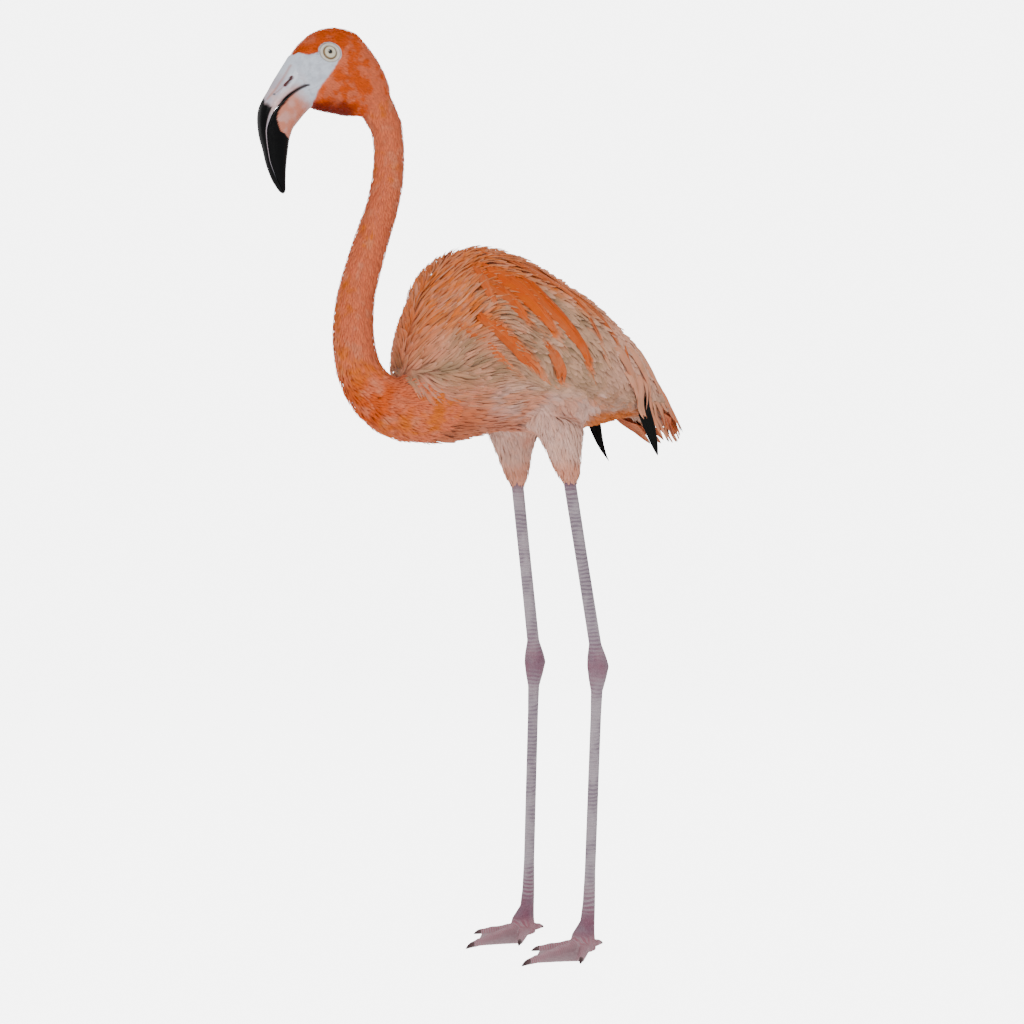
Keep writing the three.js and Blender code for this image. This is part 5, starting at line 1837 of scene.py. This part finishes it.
def make_claw(node):
    """A claw that runs from its toe's end to its point, arched over."""
    low, high = (to_bird(np.array(c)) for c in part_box(node))
    right = low[0] < 0
    hub = np.array([-INSTEP_OUT if right else INSTEP_OUT, INSTEP_BACK + RIGHT_FOOT_BACK * right, 0.0])
    corners = to_bird(read_points(bpy.data.objects[node].data))
    reach = np.linalg.norm((corners - hub)[:, :2], axis=1)
    far, near = corners[reach > reach.max() - 1.2].mean(0), corners[reach < np.percentile(reach, 34)].mean(0)
    height = high[2]
    near, far = near * [1, 1, 0], far * [1, 1, 0]
    along = unit(far - near)
    near = near - along * 1.2
    sideways = np.cross(UP, along)
    rows, columns = 14, 16
    t = np.linspace(0, 1, rows)
    radius = height * 0.5 * (1 - t**1.7) ** 0.75 + 0.12
    lift = height * (0.5 - 0.42 * t**2.2)
    turn = np.linspace(0, 2 * np.pi, columns, endpoint=False)
    centre = near[None] + (far - near)[None] * t[:, None] + UP * np.maximum(lift, radius)[:, None]
    ring = sideways * np.cos(turn)[:, None] * 0.82 + UP * np.sin(turn)[:, None]
    points = (centre[:, None] + ring[None] * radius[:, None, None]).reshape(-1, 3)
    points = np.vstack([points, centre[-1] + along * 0.2, centre[0]])
    piece = mesh_object(f"{node}_horn", points, tube_faces(rows, columns))
    edit_mesh(piece, turn_out)
    shade = np.concatenate([np.repeat(t, columns), [1, 0]])
    set_tint(piece.data, mix(CLAW * 1.4, CLAW * 0.35, shade))
    round_claw = np.concatenate([np.tile(np.linspace(0.05, 0.9, columns), rows), [0.5, 0.5]])
    set_uv(piece.data, "OFBake", np.stack([round_claw, 0.05 + 0.9 * shade], -1))
    dress(piece, horn, "claw_horn", node)


# ------------------------------------------------------------------ the bird
horn = horn_material()
eyeball = eye_material()
skin = make_skin()
unwrap_skin(skin)
skin_region = paint_skin(skin)
outer_tree, _ = tree_of([*FLESH, *WINGS])
ground = Ground(skin, skin_region)
for make_coat in (head_coat, neck_coat, thigh_coat):
    make_coat(ground)
for make_coat in (body_coat, flank_coat, wisp_coat, plume_coat, streak_coat, rear_coats):
    make_coat(ground, outer_tree)
make_bill(True)
make_bill(False)
for side_name, side_sign in SIDES:
    make_eye(side_name, side_sign)
    for toe in ("middle", "outer", "inner", "hind"):
        make_claw(f"claw_{side_name}_{toe}")


# ------------------------------------------------------------------ stage, lights and camera
def area_light(name, spot, aim_height, size, power):
    data = bpy.data.lights.new(name, "AREA")
    data.shape = "DISK"
    data.size = size
    data.energy = power
    lamp = bpy.data.objects.new(name, data)
    bpy.context.collection.objects.link(lamp)
    lamp.location = spot
    lamp.rotation_euler = (Vector((0, 0, aim_height)) - Vector(spot)).to_track_quat("-Z", "Y").to_euler()


def make_stage():
    """A plain floor and a pale sky, both brighter to the camera than to the bird, and three lamps."""
    bpy.ops.mesh.primitive_plane_add(size=60, location=(0, 0, 0))
    floor = bpy.context.object
    floor.name = "floor"
    floor.data.materials.append(floor_material())
    world = bpy.data.worlds.new("studio")
    bpy.context.scene.world = world
    world.use_nodes = True
    tree = world.node_tree
    sky = tree.nodes["Background"]
    sky.inputs["Color"].default_value = (1.0, 1.0, 1.0, 1)
    seen = tree.nodes.new("ShaderNodeLightPath").outputs["Is Camera Ray"]
    strength = tree.nodes.new("ShaderNodeMapRange")
    tree.links.new(seen, strength.inputs["Value"])
    strength.inputs["To Min"].default_value = SKY_LIGHT
    strength.inputs["To Max"].default_value = SKY_SEEN
    tree.links.new(strength.outputs["Result"], sky.inputs["Strength"])
    area_light("key", (2.2, -2.4, 2.6), aim_height=0.8, size=1.6, power=66)
    area_light("fill", (-2.4, -1.6, 1.6), aim_height=0.7, size=2.2, power=17)
    area_light("rim", (-1.0, 2.6, 2.4), aim_height=0.8, size=1.8, power=26)


def make_camera():
    data = bpy.data.cameras.new("camera")
    data.lens = 50
    data.sensor_width = 36
    camera = bpy.data.objects.new("camera", data)
    bpy.context.collection.objects.link(camera)
    level = math.cos(CAMERA_PITCH)
    aim = (-math.sin(CAMERA_AZIMUTH) * level, math.cos(CAMERA_AZIMUTH) * level, math.sin(CAMERA_PITCH))
    camera.location = to_frame(CAMERA_AT)
    camera.rotation_euler = Vector(aim).to_track_quat("-Z", "Y").to_euler()
    bpy.context.scene.camera = camera


make_stage()
make_camera()
